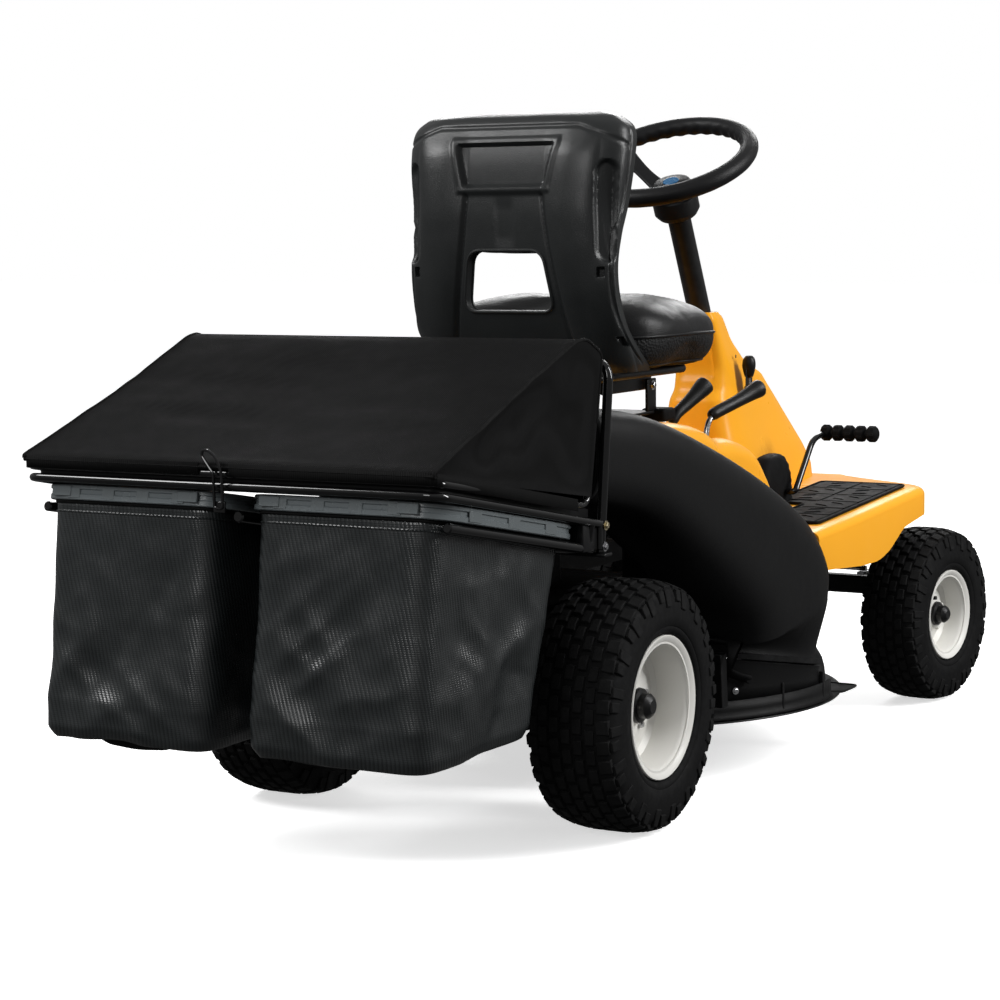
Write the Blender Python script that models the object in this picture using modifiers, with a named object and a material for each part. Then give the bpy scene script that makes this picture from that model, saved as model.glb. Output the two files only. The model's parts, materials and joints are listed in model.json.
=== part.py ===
"""Rear-engine riding lawn mower with a side-discharge deck and a twin-bag rear collector.

Machine frame while modelling: X to the machine's right, Y forward, Z up, ground at Z = 0 and
the rear axle at Y = 0.  The root empty moves the whole machine so that the origin is under
the middle of its bounding box.  All sizes are in metres.
"""
import math

import bmesh
import bpy
from mathutils import Euler, Matrix, Vector

# ---------------------------------------------------------------- driving dimensions
GAP = 0.0004                  # clearance between touching pieces
ORIGIN_Y = 0.4004             # middle of the machine's length, ahead of the rear axle
WHEELBASE = 1.278
REAR_TYRE = {"radius": 0.199, "width": 0.153, "bead": 0.1003, "flange": 0.1133, "x": 0.307}
FRONT_TYRE = {"radius": 0.1706, "width": 0.123, "bead": 0.0760, "flange": 0.0881, "x": 0.330}
TYRE_SIDES = 28
RIM_SIDES = 20
STEER_REST = math.radians(-6.65)       # the front wheels rest slightly turned to the right
STEER_RATIO = 4.0                      # steering wheel turn per wheel turn
KINGPIN_X = 0.245

RAIL_X = 0.130
RAIL_Z = (0.305, 0.345)
PLATE_TOP = 0.351                      # top of the engine plate

ENGINE_Y = 0.130                       # crankshaft
TRANSAXLE_PULLEY_Y = -0.010
DECK_Y = 0.600                         # blade spindle
DECK_RADIUS = 0.397
DECK_LIP_Z = 0.1085
ADAPTER_RADIUS = 0.388                 # the discharge adapter's wall follows the deck
DECK_PULLEY_Z = 0.295
CRANK_DECK_Z = 0.270
DRIVE_BELT_Z = 0.327

COLUMN_TOP = Vector((0.0, 0.813, 1.024))     # on the steering axis, at the hub's cap
COLUMN_AXIS = Vector((0.0, -0.442, 0.897)).normalized()
WHEEL_RIM_RADIUS = 0.155
WHEEL_RIM_TUBE = 0.0165
WHEEL_LIFT = 0.040                     # rim plane above the hub's cap

PAN_Z0, PAN_SLOPE = 0.398, 0.0625      # floor height at Y = 0.72 and its rise
SEAT_HINGE = (0.0, 0.520, 0.664)

BAG_SLOPE = math.atan(0.186)           # the collector's rails fall towards the machine
BAG_REAR_Y, BAG_REAR_Z = -0.632, 0.607 # hood tube at the rear
SUPPORT_DROP = 0.017                   # support tube under the hood tube
HOOD_HINGE = (0.0, -0.127, 0.743)
TUBE_R = 0.006
POST_R = 0.0075

# colours as linear RGB
BLACK = (0.012, 0.012, 0.013)
SATIN = (0.020, 0.021, 0.022)
YELLOW = (0.90, 0.40, 0.030)
RUBBER = (0.015, 0.015, 0.016)
CREAM = (0.78, 0.77, 0.73)
STEEL = (0.45, 0.45, 0.46)
CAST = (0.22, 0.22, 0.23)
NYLON = (0.030, 0.036, 0.036)

# ---------------------------------------------------------------- scene
for old in list(bpy.data.objects):
    bpy.data.objects.remove(old, do_unlink=True)


def new_collection(name):
    col = bpy.data.collections.new(name)
    bpy.context.scene.collection.children.link(col)
    return col


PARTS = new_collection("riding_mower")
CUTTERS = new_collection("cutters")


def empty(name, place, parent=None):
    ob = bpy.data.objects.new(name, None)
    ob.empty_display_size = 0.05
    ob.location = place
    ob.parent = parent
    PARTS.objects.link(ob)
    return ob


def paint(ob, colour, roughness, metallic=0.0):
    mat = bpy.data.materials.new(ob.name + "_material")
    mat.use_nodes = True
    shader = mat.node_tree.nodes["Principled BSDF"]
    shader.inputs["Base Color"].default_value = (*colour, 1.0)
    shader.inputs["Roughness"].default_value = roughness
    shader.inputs["Metallic"].default_value = metallic
    ob.data.materials.clear()
    ob.data.materials.append(mat)


def add_mesh(name, bm, smooth=True):
    bmesh.ops.recalc_face_normals(bm, faces=bm.faces)
    mesh = bpy.data.meshes.new(name)
    bm.to_mesh(mesh)
    bm.free()
    if smooth:
        mesh.shade_smooth()
        mesh.set_sharp_from_angle(angle=math.radians(35))
    ob = bpy.data.objects.new(name, mesh)
    PARTS.objects.link(ob)
    return ob


# ---------------------------------------------------------------- shape helpers
def bevel(ob, width, segments=1):
    mod = ob.modifiers.new("bevel", "BEVEL")
    mod.width = width
    mod.segments = segments
    mod.limit_method = "ANGLE"
    mod.angle_limit = math.radians(40)
    return ob


def thicken(ob, thickness, offset=-1.0):
    mod = ob.modifiers.new("thickness", "SOLIDIFY")
    mod.thickness = thickness
    mod.offset = offset
    mod.use_even_offset = True
    return ob


def boolean(ob, tool, operation):
    mod = ob.modifiers.new(operation.lower(), "BOOLEAN")
    mod.operation = operation
    mod.solver = "EXACT"
    mod.object = tool
    if tool.name in PARTS.objects:
        PARTS.objects.unlink(tool)
        CUTTERS.objects.link(tool)
    tool.hide_render = True
    tool.display_type = "WIRE"
    attach(ob, tool)
    return ob


def cut(ob, *tools):
    for tool in tools:
        boolean(ob, tool, "DIFFERENCE")
    return ob


def join(ob, *tools):
    for tool in tools:
        boolean(ob, tool, "UNION")
    return ob


def box(name, x, y, z):
    """A box between the given limits, each a (low, high) pair."""
    bm = bmesh.new()
    bmesh.ops.create_cube(bm, size=1.0)
    size = Vector((x[1] - x[0], y[1] - y[0], z[1] - z[0]))
    centre = Vector((x[1] + x[0], y[1] + y[0], z[1] + z[0])) / 2
    bmesh.ops.scale(bm, vec=size, verts=bm.verts)
    bmesh.ops.translate(bm, vec=centre, verts=bm.verts)
    return add_mesh(name, bm, smooth=False)


def cylinder(name, radius, start, end, sides=16):
    start, end = Vector(start), Vector(end)
    run = end - start
    bm = bmesh.new()
    bmesh.ops.create_cone(bm, cap_ends=True, segments=sides, radius1=radius,
                          radius2=radius, depth=run.length)
    turn = run.to_track_quat("Z", "Y").to_matrix().to_4x4()
    bmesh.ops.transform(bm, matrix=Matrix.Translation((start + end) / 2) @ turn, verts=bm.verts)
    return add_mesh(name, bm)


def lathe(name, profile, closed=False, sides=24):
    """Turn (radius, height) points about local Z; the outer side runs from top to bottom."""
    mesh = bpy.data.meshes.new(name)
    count = len(profile)
    edges = [(i, i + 1) for i in range(count - 1)]
    if closed:
        edges.append((count - 1, 0))
    mesh.from_pydata([(r, 0.0, z) for r, z in profile], edges, [])
    ob = bpy.data.objects.new(name, mesh)
    PARTS.objects.link(ob)
    mod = ob.modifiers.new("turn", "SCREW")
    mod.steps = sides
    mod.render_steps = sides
    mod.use_merge_vertices = True
    mod.merge_threshold = 0.00001
    mod.use_smooth_shade = True
    return ob


def place(ob, location, rotation=(0.0, 0.0, 0.0)):
    ob.matrix_world = Matrix.Translation(location) @ Euler(rotation).to_matrix().to_4x4()
    return ob


def loft(name, rings, cyclic=True, closed=False, caps=(True, True)):
    """Skin a row of rings that all have the same number of points."""
    bm = bmesh.new()
    rows = [[bm.verts.new(p) for p in ring] for ring in rings]
    pairs = list(zip(rows, rows[1:]))
    if closed:
        pairs.append((rows[-1], rows[0]))
    for low, high in pairs:
        count = len(low)
        for i in range(count if cyclic else count - 1):
            j = (i + 1) % count
            bm.faces.new((low[i], low[j], high[j], high[i]))
    if caps[0]:
        bm.faces.new(rows[0])
    if caps[1]:
        bm.faces.new(rows[-1])
    return add_mesh(name, bm)


def squircle(count=12, power=0.55):
    """Points round a soft-cornered square from -1 to 1."""
    points = []
    for i in range(count):
        angle = 2 * math.pi * (i + 0.5) / count
        c, s = math.cos(angle), math.sin(angle)
        points.append((math.copysign(abs(c) ** power, c), math.copysign(abs(s) ** power, s)))
    return points


def rounded_path(points, radius, steps=3, cyclic=False):
    """The points with each corner replaced by a short curve."""
    points = [Vector(p) for p in points]
    count = len(points)
    path = []
    for i, p in enumerate(points):
        if not cyclic and i in (0, count - 1):
            path.append(p)
            continue
        before, after = points[i - 1] - p, points[(i + 1) % count] - p
        reach = min(radius, before.length * 0.45, after.length * 0.45)
        a = p + before.normalized() * reach
        b = p + after.normalized() * reach
        for k in range(steps + 1):
            t = k / steps
            path.append(a * (1 - t) ** 2 + p * 2 * t * (1 - t) + b * t ** 2)
    return path


def tube(name, points, radius, cyclic=False, scales=None):
    """A round bar along the points; scales thickens it point by point."""
    curve = bpy.data.curves.new(name, "CURVE")
    curve.dimensions = "3D"
    curve.bevel_depth = radius
    curve.bevel_resolution = 2
    curve.use_fill_caps = not cyclic
    spline = curve.splines.new("POLY")
    spline.points.add(len(points) - 1)
    for i, p in enumerate(points):
        spline.points[i].co = (*p, 1.0)
        spline.points[i].radius = scales[i] if scales else 1.0
    spline.use_cyclic_u = cyclic
    ob = bpy.data.objects.new(name, curve)
    PARTS.objects.link(ob)
    return ob


def as_mesh(curve_ob):
    """The curve object's surface as a welded mesh object with the same name."""
    graph = bpy.context.evaluated_depsgraph_get()
    mesh = bpy.data.meshes.new_from_object(curve_ob.evaluated_get(graph))
    bm = bmesh.new()
    bm.from_mesh(mesh)
    bmesh.ops.remove_doubles(bm, verts=bm.verts, dist=0.00001)
    bm.to_mesh(mesh)
    bm.free()
    name = curve_ob.name
    matrix = curve_ob.matrix_world.copy()
    bpy.data.objects.remove(curve_ob, do_unlink=True)
    ob = bpy.data.objects.new(name, mesh)
    ob.matrix_world = matrix
    PARTS.objects.link(ob)
    return ob


def flat(name, outline, z_low, z_high):
    """A plate with the given outline between two heights."""
    curve = bpy.data.curves.new(name, "CURVE")
    curve.dimensions = "2D"
    curve.fill_mode = "BOTH"
    curve.extrude = (z_high - z_low) / 2
    spline = curve.splines.new("POLY")
    spline.points.add(len(outline) - 1)
    for i, (x, y) in enumerate(outline):
        spline.points[i].co = (x, y, 0.0, 1.0)
    spline.use_cyclic_u = True
    ob = bpy.data.objects.new(name, curve)
    ob.location = (0.0, 0.0, (z_low + z_high) / 2)
    PARTS.objects.link(ob)
    return ob


def attach(parent, *parts):
    """Make the parts follow a pivot without moving them."""
    bpy.context.view_layer.update()
    for ob in parts:
        ob.parent = parent
        ob.matrix_parent_inverse = parent.matrix_world.inverted()


# ---------------------------------------------------------------- chassis
def make_frame():
    rails = [box("rail", (s * RAIL_X - 0.015, s * RAIL_X + 0.015), (-0.160, 1.340), RAIL_Z)
             for s in (-1, 1)]
    cross = [box("cross", (-0.120, 0.120), y, (RAIL_Z[0] + 0.001, RAIL_Z[1] - 0.001))
             for y in ((-0.159, -0.130), (0.400, 0.420), (1.235, 1.330))]
    plate = box("plate", (-0.190, 0.190), (-0.158, 0.330), (RAIL_Z[1] - 0.004, PLATE_TOP))
    hitch = box("hitch", (-0.080, 0.080), (-0.1655, -0.157), (0.220, 0.343))
    ears = [box("ear", (-0.030, 0.030), y, (0.200, 0.320))
            for y in ((1.2540, 1.2590), (1.2970, 1.3020))]
    pin = cylinder("pin", 0.008, (0, 1.256, 0.220), (0, 1.300, 0.220), 12)
    frame = rails[0]
    frame.name = "chassis_frame"
    join(frame, rails[1], *cross, plate, hitch, *ears, pin)
    paint(frame, BLACK, 0.45, 0.2)
    return frame


def make_transaxle():
    case = bevel(box("transaxle", (-0.095, 0.095), (-0.090, 0.070), (0.135, 0.265)), 0.016, 1)
    tubes = cylinder("axle_tubes", 0.030, (-0.1065, 0, 0.199), (0.1065, 0, 0.199), 12)
    join(case, tubes)
    paint(case, CAST, 0.55, 0.8)
    return case


def make_pulley(name, radius, groove, y, grooves, shaft_radius, shaft):
    """A pulley on a vertical shaft; grooves holds (centre height, half height) pairs."""
    profile = [(0.0, shaft[1]), (shaft_radius, shaft[1])]
    for z, half in sorted(grooves, reverse=True):
        top, low = z + half, z - half
        profile += [(shaft_radius, top + 0.003), (radius, top + 0.003), (radius, top),
                    (groove, top), (groove, low), (radius, low), (radius, low - 0.003),
                    (shaft_radius, low - 0.003)]
    profile += [(shaft_radius, shaft[0]), (0.0, shaft[0])]
    clean = [p for i, p in enumerate(profile) if i == 0 or p != profile[i - 1]]
    ob = lathe(name, clean, sides=20)
    place(ob, (0.0, y, 0.0))
    paint(ob, STEEL, 0.35, 1.0)
    return ob


def belt_path(y_a, z_a, r_a, y_b, z_b, r_b, steps=7):
    """A loop round two wheels on vertical axes, in the plane through both heights."""
    slope = (z_b - z_a) / (y_b - y_a)
    points = []
    for centre, radius, start in ((y_a, r_a, math.pi), (y_b, r_b, 0.0)):
        for i in range(steps):
            angle = start + math.pi * i / (steps - 1)
            y = centre + radius * math.sin(angle)
            points.append((radius * math.cos(angle), y, z_a + slope * (y - y_a)))
    return points


def make_belt(name, *ends):
    ob = tube(name, belt_path(*ends), 0.004, cyclic=True)
    paint(ob, RUBBER, 0.8)
    return ob


def make_engine():
    block = bevel(box("engine_block", (-0.112, 0.110), (-0.092, 0.172),
                      (PLATE_TOP + GAP, 0.455)), 0.012)
    barrel = bevel(box("barrel", (-0.060, 0.060), (-0.120, -0.080), (0.375, 0.450)), 0.010)
    join(block, barrel)
    paint(block, CAST, 0.5, 0.7)
    shroud = lathe("engine_shroud", [(0.0, 0.575), (0.045, 0.575), (0.085, 0.560),
                                     (0.102, 0.530), (0.104, 0.4554), (0.0, 0.4554)], sides=24)
    place(shroud, (0.022, 0.060, 0.0))
    paint(shroud, BLACK, 0.5)
    muffler = bevel(box("muffler", (-0.186, -0.1145), (-0.075, 0.075), (0.356, 0.436)), 0.018, 2)
    stub = cylinder("stub", 0.012, (-0.150, -0.070, 0.396), (-0.150, -0.110, 0.396), 12)
    join(muffler, stub)
    paint(muffler, CAST, 0.6, 0.8)
    return block, shroud, muffler


def make_fuel_tank():
    tank = bevel(box("fuel_tank", (-0.205, -0.095), (-0.095, 0.165), (0.456, 0.552)), 0.020, 2)
    paint(tank, SATIN, 0.5)
    cap = lathe("fuel_cap", [(0.0, 0.573), (0.020, 0.573), (0.024, 0.568), (0.024, 0.5525),
                             (0.0, 0.5525)], sides=16)
    place(cap, (-0.150, 0.100, 0.0))
    paint(cap, BLACK, 0.5)
    return tank, cap


# ---------------------------------------------------------------- body panels
CONSOLE_HALF = 0.200
CONSOLE_TOP = ((0.215, 0.612), (0.400, 0.609), (0.500, 0.598), (0.560, 0.585), (0.610, 0.566),
               (0.680, 0.559), (0.756, 0.537), (0.800, 0.500), (0.840, 0.455), (0.868, 0.432))
CONSOLE_FOOT = 0.345


def make_console():
    """The arched panel between the floor and the engine, open below and behind."""
    rings = []
    last = CONSOLE_TOP[-1][0]
    for y, top in CONSOLE_TOP:
        foot = CONSOLE_FOOT + 0.050 * max(0.0, (y - 0.70) / (last - 0.70))
        soft = min(0.035, (top - foot) * 0.45)
        side = [(CONSOLE_HALF, foot), (CONSOLE_HALF, top - soft),
                (CONSOLE_HALF - soft * 0.3, top - soft * 0.3), (CONSOLE_HALF - soft, top)]
        ring = [(-x, y, z) for x, z in side] + [(x, y, z) for x, z in reversed(side)]
        rings.append(ring)
    body = thicken(loft("body_console", rings, cyclic=False, caps=(False, True)), 0.004)
    slots = (box("slot", (0.086, 0.114), (0.580, 0.668), (0.50, 0.65)),
             box("slot", (0.136, 0.164), (0.618, 0.700), (0.50, 0.65)))
    cut(body, *slots)
    paint(body, YELLOW, 0.35)
    return body


def pan_top(y):
    return PAN_Z0 + PAN_SLOPE * (min(y, 1.20) - 0.72)


def make_floor_pan():
    rows = ((0.700, 0.345, 0.325), (0.900, 0.350, 0.311), (0.980, 0.350, 0.311),
            (1.035, 0.350, 0.324), (1.110, 0.350, 0.360), (1.200, 0.350, 0.371),
            (1.235, 0.350, 0.375), (1.262, 0.318, 0.377), (1.330, 0.200, 0.385), (1.386, 0.118, 0.395))
    rings = []
    for y, half, low in rows:
        top = pan_top(y)
        side = [(half, low), (half, top - 0.014), (half - 0.012, top - 0.003),
                (half - 0.034, top)]
        ring = [(-x, y, z) for x, z in side] + [(x, y, z) for x, z in reversed(side)]
        rings.append(ring)
    pan = thicken(loft("floor_pan", rings, cyclic=False, caps=(False, True)), 0.004)
    tunnel = box("tunnel", (-CONSOLE_HALF - 0.003, CONSOLE_HALF + 0.003), (0.60, 0.8735),
                 (0.25, 0.50))
    shaft = box("shaft_hole", (-0.030, 0.030), (1.070, 1.150), (0.30, 0.50))
    cut(pan, tunnel, shaft)
    paint(pan, YELLOW, 0.35)
    return pan


def make_mat(name, side):
    """A ribbed rubber mat, notched round the pedal boot."""
    outline = [(0.216, 0.760), (0.312, 0.760), (0.312, 1.180), (0.300, 1.195), (0.150, 1.195),
               (0.150, 1.040), (0.216, 1.040)]
    outline = [(side * x, (y - 0.72) / math.cos(math.atan(PAN_SLOPE))) for x, y in outline]
    if side < 0:
        outline.reverse()
    mat = flat(name, outline, 0.0, 0.006)
    place(mat, (0.0, 0.720, PAN_Z0 + GAP + 0.003), (math.atan(PAN_SLOPE), 0.0, 0.0))
    paint(mat, RUBBER, 0.85)
    return mat


TOWER = ((0.776, 0.902, 0.960, 0.040), (0.768, 0.896, 0.978, 0.047), (0.720, 0.912, 1.012, 0.053),
         (0.669, 0.922, 1.087, 0.058), (0.654, 0.920, 1.150, 0.060), (0.625, 0.916, 1.186, 0.063),
         (0.612, 0.904, 1.200, 0.068), (0.564, 0.900, 1.255, 0.078), (0.500, 0.896, 1.325, 0.095),
         (0.459, 0.890, 1.366, 0.100))
TOWER_FOOT = (0.890, 1.372, 0.104)


def tower_ring(rear, front, half, height=None):
    ring = []
    for a, b in squircle(16, 0.45):
        y = (rear + front) / 2 + b * (front - rear) / 2
        narrow = 1.0 - 0.30 * (b + 1) / 2
        z = pan_top(y) - 0.015 if height is None else height
        ring.append((a * half * narrow, y, z))
    return ring


def make_dash_tower():
    rings = [tower_ring(rear, front, half, z) for z, rear, front, half in TOWER]
    rings.append(tower_ring(*TOWER_FOOT))
    tower = thicken(loft("dash_tower", rings, caps=(True, False)), 0.004)
    low = COLUMN_TOP - COLUMN_AXIS * 0.36
    high = COLUMN_TOP - COLUMN_AXIS * 0.20
    floor = [(0.70, 0.33), (1.45, 0.33)]
    floor += [(y, pan_top(y) + GAP) for y in (1.45, 1.20, 0.70)]
    under = loft("under_floor", [[(x, y, z) for y, z in floor] for x in (-0.20, 0.20)])
    cut(tower, cylinder("column_hole", 0.0232, low, high, 16), under)
    paint(tower, YELLOW, 0.35)
    return tower


def make_boot(name, side):
    """The domed cover where a pedal's shaft enters the tower."""
    rings = []
    for height, scale in ((0.0, 1.0), (0.045, 0.96), (0.080, 0.72), (0.094, 0.35)):
        ring = []
        for a, b in squircle(12, 0.7):
            y = 0.950 + b * 0.068 * scale
            x = 0.1395 + a * 0.0305 * (scale if a > 0 else min(1.0, scale + 0.05))
            ring.append((side * x, y, pan_top(y) + 0.0007 + height))
        rings.append(ring)
    boot = thicken(loft(name, rings, caps=(False, True)), 0.003)
    paint(boot, BLACK, 0.6)
    return boot


# ---------------------------------------------------------------- steering
def make_column():
    outer, inner = 0.0218, 0.0120
    sleeve = lathe("column_sleeve", [(outer, -0.080), (outer, -0.330), (inner, -0.330),
                                     (inner, -0.080)], closed=True, sides=20)
    turn = COLUMN_AXIS.to_track_quat("Z", "Y").to_euler()
    place(sleeve, COLUMN_TOP, turn)
    paint(sleeve, BLACK, 0.4)
    shaft = cylinder("steering_shaft", 0.0095, COLUMN_TOP - COLUMN_AXIS * 0.0725,
                     COLUMN_TOP - COLUMN_AXIS * 0.790, 12)
    paint(shaft, STEEL, 0.3, 1.0)
    return sleeve, shaft


def make_steering_wheel():
    """Rim, three spokes and hub in local axes, with local Z along the column."""
    rim_path = [(WHEEL_RIM_RADIUS * math.cos(2 * math.pi * i / 28),
                 WHEEL_RIM_RADIUS * math.sin(2 * math.pi * i / 28), 0.0) for i in range(28)]
    wheel = as_mesh(tube("steering_wheel", rim_path, WHEEL_RIM_TUBE, cyclic=True))
    hub = lathe("hub", [(0.0, -0.040), (0.027, -0.040), (0.036, -0.046), (0.037, -0.066),
                        (0.043, -0.072), (0.043, -0.102), (0.036, -0.1115), (0.0, -0.1115)],
                sides=20)
    spokes = []
    for degrees in (0, 180, 270):
        spoke = bevel(box("spoke", (0.020, WHEEL_RIM_RADIUS - 0.004), (-0.017, 0.017),
                          (-0.007, 0.004)), 0.003)
        lift = math.atan(0.044 / WHEEL_RIM_RADIUS)
        tilt = Matrix.Translation((0.0, 0.0, -0.050)) @ Matrix.Rotation(-lift, 4, "Y")
        spoke.matrix_world = Matrix.Rotation(math.radians(degrees), 4, "Z") @ tilt
        spokes.append(spoke)
    join(wheel, hub, *spokes)
    turn = COLUMN_AXIS.to_track_quat("Z", "Y").to_matrix().to_4x4()
    # the track quaternion may roll the wheel, so the driver's side is lined up with -Y first
    side = turn.inverted() @ Vector((1.0, 0.0, 0.0))
    roll = math.atan2(side.y, side.x) + STEER_REST * STEER_RATIO
    centre = COLUMN_TOP + COLUMN_AXIS * WHEEL_LIFT
    wheel.matrix_world = Matrix.Translation(centre) @ turn @ Matrix.Rotation(roll, 4, "Z")
    paint(wheel, BLACK, 0.55)
    return wheel


def make_sector():
    """The toothed steering plate under the shaft, with its arm to the left."""
    teeth = []
    for i in range(13):
        angle = math.radians(20 + 10 * i)
        radius = 0.052 if i % 2 else 0.046
        teeth.append((-0.060 + radius * math.cos(angle), 1.120 + radius * math.sin(angle)))
    arm = [(-0.110, 1.128), (-0.190, 1.128), (-0.190, 1.112), (-0.060, 1.098)]
    sector = flat("steering_sector", teeth + arm, 0.2925, 0.2985)
    paint(sector, STEEL, 0.4, 1.0)
    return sector


def make_front_axle():
    beam = bevel(box("front_axle", (-0.240, 0.240), (1.2625, 1.2935), (0.202, 0.238)), 0.004)
    for side in (-1, 1):
        join(beam, cylinder("bush", 0.019, (side * KINGPIN_X, WHEELBASE, 0.188),
                            (side * KINGPIN_X, WHEELBASE, 0.252), 12))
    for side in (-1, 1):
        cut(beam, cylinder("bore", 0.0110, (side * KINGPIN_X, WHEELBASE, 0.17),
                           (side * KINGPIN_X, WHEELBASE, 0.27), 12))
    cut(beam, cylinder("pivot_bore", 0.0090, (0, 1.24, 0.220), (0, 1.32, 0.220), 12))
    paint(beam, BLACK, 0.45, 0.3)
    return beam


def make_spindle(name, side):
    """Kingpin, stub axle and steering arm, turned to the rest angle about the kingpin.

    The left one has a second arm, which the sector's link drives."""
    stub_z = FRONT_TYRE["radius"]
    pin = cylinder(name, 0.0100, (0, 0, stub_z), (0, 0, 0.258), 12)
    stub = cylinder("stub", 0.0090, (0, 0, stub_z), (side * 0.058, 0, stub_z), 12)
    arm = box("arm", (-0.008, 0.008), (-0.100, 0.008), (0.2525, 0.2585))
    tools = [stub, arm]
    if side < 0:
        tools.append(box("inner_arm", (0.000, 0.060), (-0.008, 0.008), (0.2526, 0.2584)))
    join(pin, *tools)
    turn = Matrix.Rotation(STEER_REST, 4, "Z")
    pin.matrix_world = Matrix.Translation((side * KINGPIN_X, WHEELBASE, 0)) @ turn
    paint(pin, STEEL, 0.4, 1.0)
    return pin


def make_tie_rod():
    shift = Vector((0.088 * math.sin(STEER_REST), -0.088 * math.cos(STEER_REST), 0.0))
    ends = [Vector((side * (KINGPIN_X + 0.006), WHEELBASE, 0.2645)) + shift for side in (-1, 1)]
    rod = tube("tie_rod", [ends[0], ends[0].lerp(ends[1], 0.03), ends[0].lerp(ends[1], 0.06),
                           ends[0].lerp(ends[1], 0.94), ends[0].lerp(ends[1], 0.97), ends[1]],
               0.005, scales=(1.1, 1.1, 1.0, 1.0, 1.1, 1.1))
    paint(rod, STEEL, 0.4, 1.0)
    return rod


# ---------------------------------------------------------------- wheels
def tyre_profile(size):
    r, half, bead, flange = size["radius"], size["width"] / 2, size["bead"], size["flange"]
    seat = half - 0.0112
    outer = [(r, 0.0), (r - 0.006, half * 0.76), (flange + (r - flange) * 0.68, half * 0.96),
             (flange + (r - flange) * 0.26, half), (flange + 0.0015, seat), (bead, seat)]
    mirrored = [(radius, -x) for radius, x in outer[1:]]
    return list(reversed(outer)) + mirrored


def rim_profile(size, shaft):
    """Half section of hub, dished disc, barrel and two flanges; shaft is the stub behind."""
    half, bead, flange = size["width"] / 2, size["bead"], size["flange"]
    lip = half - 0.0055
    seat = half - 0.0112
    drop = bead * 0.9937 - 0.0004
    thin = drop - 0.0040
    profile = [(0.0, 0.020), (0.028, 0.020), (0.031, 0.008), (thin, 0.004), (thin, lip - 0.003),
               (flange, lip), (flange, seat + 0.0005), (drop, seat + 0.0005),
               (drop, -seat - 0.0005), (flange, -seat - 0.0005), (flange, -lip),
               (thin, -lip + 0.003), (thin, -0.001)]
    if shaft > 0:
        return profile + [(0.016, -0.001), (0.016, -shaft), (0.0, -shaft)]
    return profile + [(0.024, -0.001), (0.024, -0.024), (0.0, -0.024)]


def make_wheel(side, size, end_name, y, pivot_x, turn, shaft):
    tag = "right" if side > 0 else "left"
    tyre = lathe(f"{end_name}_tyre_{tag}", tyre_profile(size), closed=True, sides=TYRE_SIDES)
    rim = lathe(f"{end_name}_rim_{tag}", rim_profile(size, shaft), sides=RIM_SIDES)
    lay = Matrix.Rotation(side * math.pi / 2, 4, "Y")
    matrix = Matrix.Translation((pivot_x, y, size["radius"])) @ Matrix.Rotation(turn, 4, "Z") @ lay
    for ob in (tyre, rim):
        ob.matrix_world = matrix
    paint(tyre, RUBBER, 0.8)
    paint(rim, CREAM, 0.35)
    return tyre, rim


# ---------------------------------------------------------------- controls
def make_pedal(name, side, reach):
    """A bent rod on a cross shaft; the shaft enters the boot."""
    x = 0.190
    points = [(0.1725, 0.955, 0.437), (x, 0.955, 0.437), (x, 1.040, 0.530), (x, reach, 0.537)]
    path = rounded_path([(side * px, py, pz) for px, py, pz in points], 0.018)
    if side < 0:
        path.reverse()
    rod = tube(name, path, 0.006)
    paint(rod, BLACK, 0.3, 0.4)
    return rod


def make_pad(name, side):
    pad = cylinder(name, 0.0145, (side * 0.182, 1.1025, 0.538), (side * 0.300, 1.1025, 0.538), 12)
    bevel(pad, 0.004)
    paint(pad, RUBBER, 0.8)
    return pad


def make_brake_pedal():
    """The left pedal, whose plain pad is fixed to its rod."""
    pedal = as_mesh(make_pedal("brake_pedal", -1, 1.0980))
    join(pedal, make_pad("brake_pad", -1))
    paint(pedal, BLACK, 0.4)
    return pedal


def make_lever(name, points, radii):
    lever = tube(name, points, 0.005, scales=[r / 0.005 for r in radii])
    paint(lever, BLACK, 0.4)
    return lever


def make_levers():
    pto = make_lever("pto_lever", [(0.100, 0.580, 0.470), (0.100, 0.598, 0.565),
                                   (0.101, 0.612, 0.597), (0.104, 0.619, 0.607),
                                   (0.120, 0.660, 0.636), (0.128, 0.680, 0.651),
                                   (0.130, 0.687, 0.656)],
                     (0.005, 0.005, 0.006, 0.010, 0.013, 0.017, 0.010))
    lift = make_lever("lift_lever", [(0.150, 0.620, 0.450), (0.150, 0.638, 0.545),
                                     (0.151, 0.648, 0.585), (0.155, 0.662, 0.603),
                                     (0.178, 0.715, 0.624), (0.196, 0.758, 0.642),
                                     (0.200, 0.768, 0.646)],
                      (0.005, 0.005, 0.006, 0.011, 0.012, 0.016, 0.010))
    throttle = make_lever("throttle_lever", [(0.0745, 1.000, 0.615), (0.0745, 1.000, 0.642),
                                             (0.0745, 0.998, 0.660), (0.0745, 0.997, 0.676),
                                             (0.0745, 0.996, 0.686)],
                          (0.0045, 0.0045, 0.008, 0.010, 0.005))
    return pto, lift, throttle


# ---------------------------------------------------------------- cutting deck
def adapter_x(y):
    return math.sqrt(ADAPTER_RADIUS ** 2 - (y - DECK_Y) ** 2)


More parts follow.
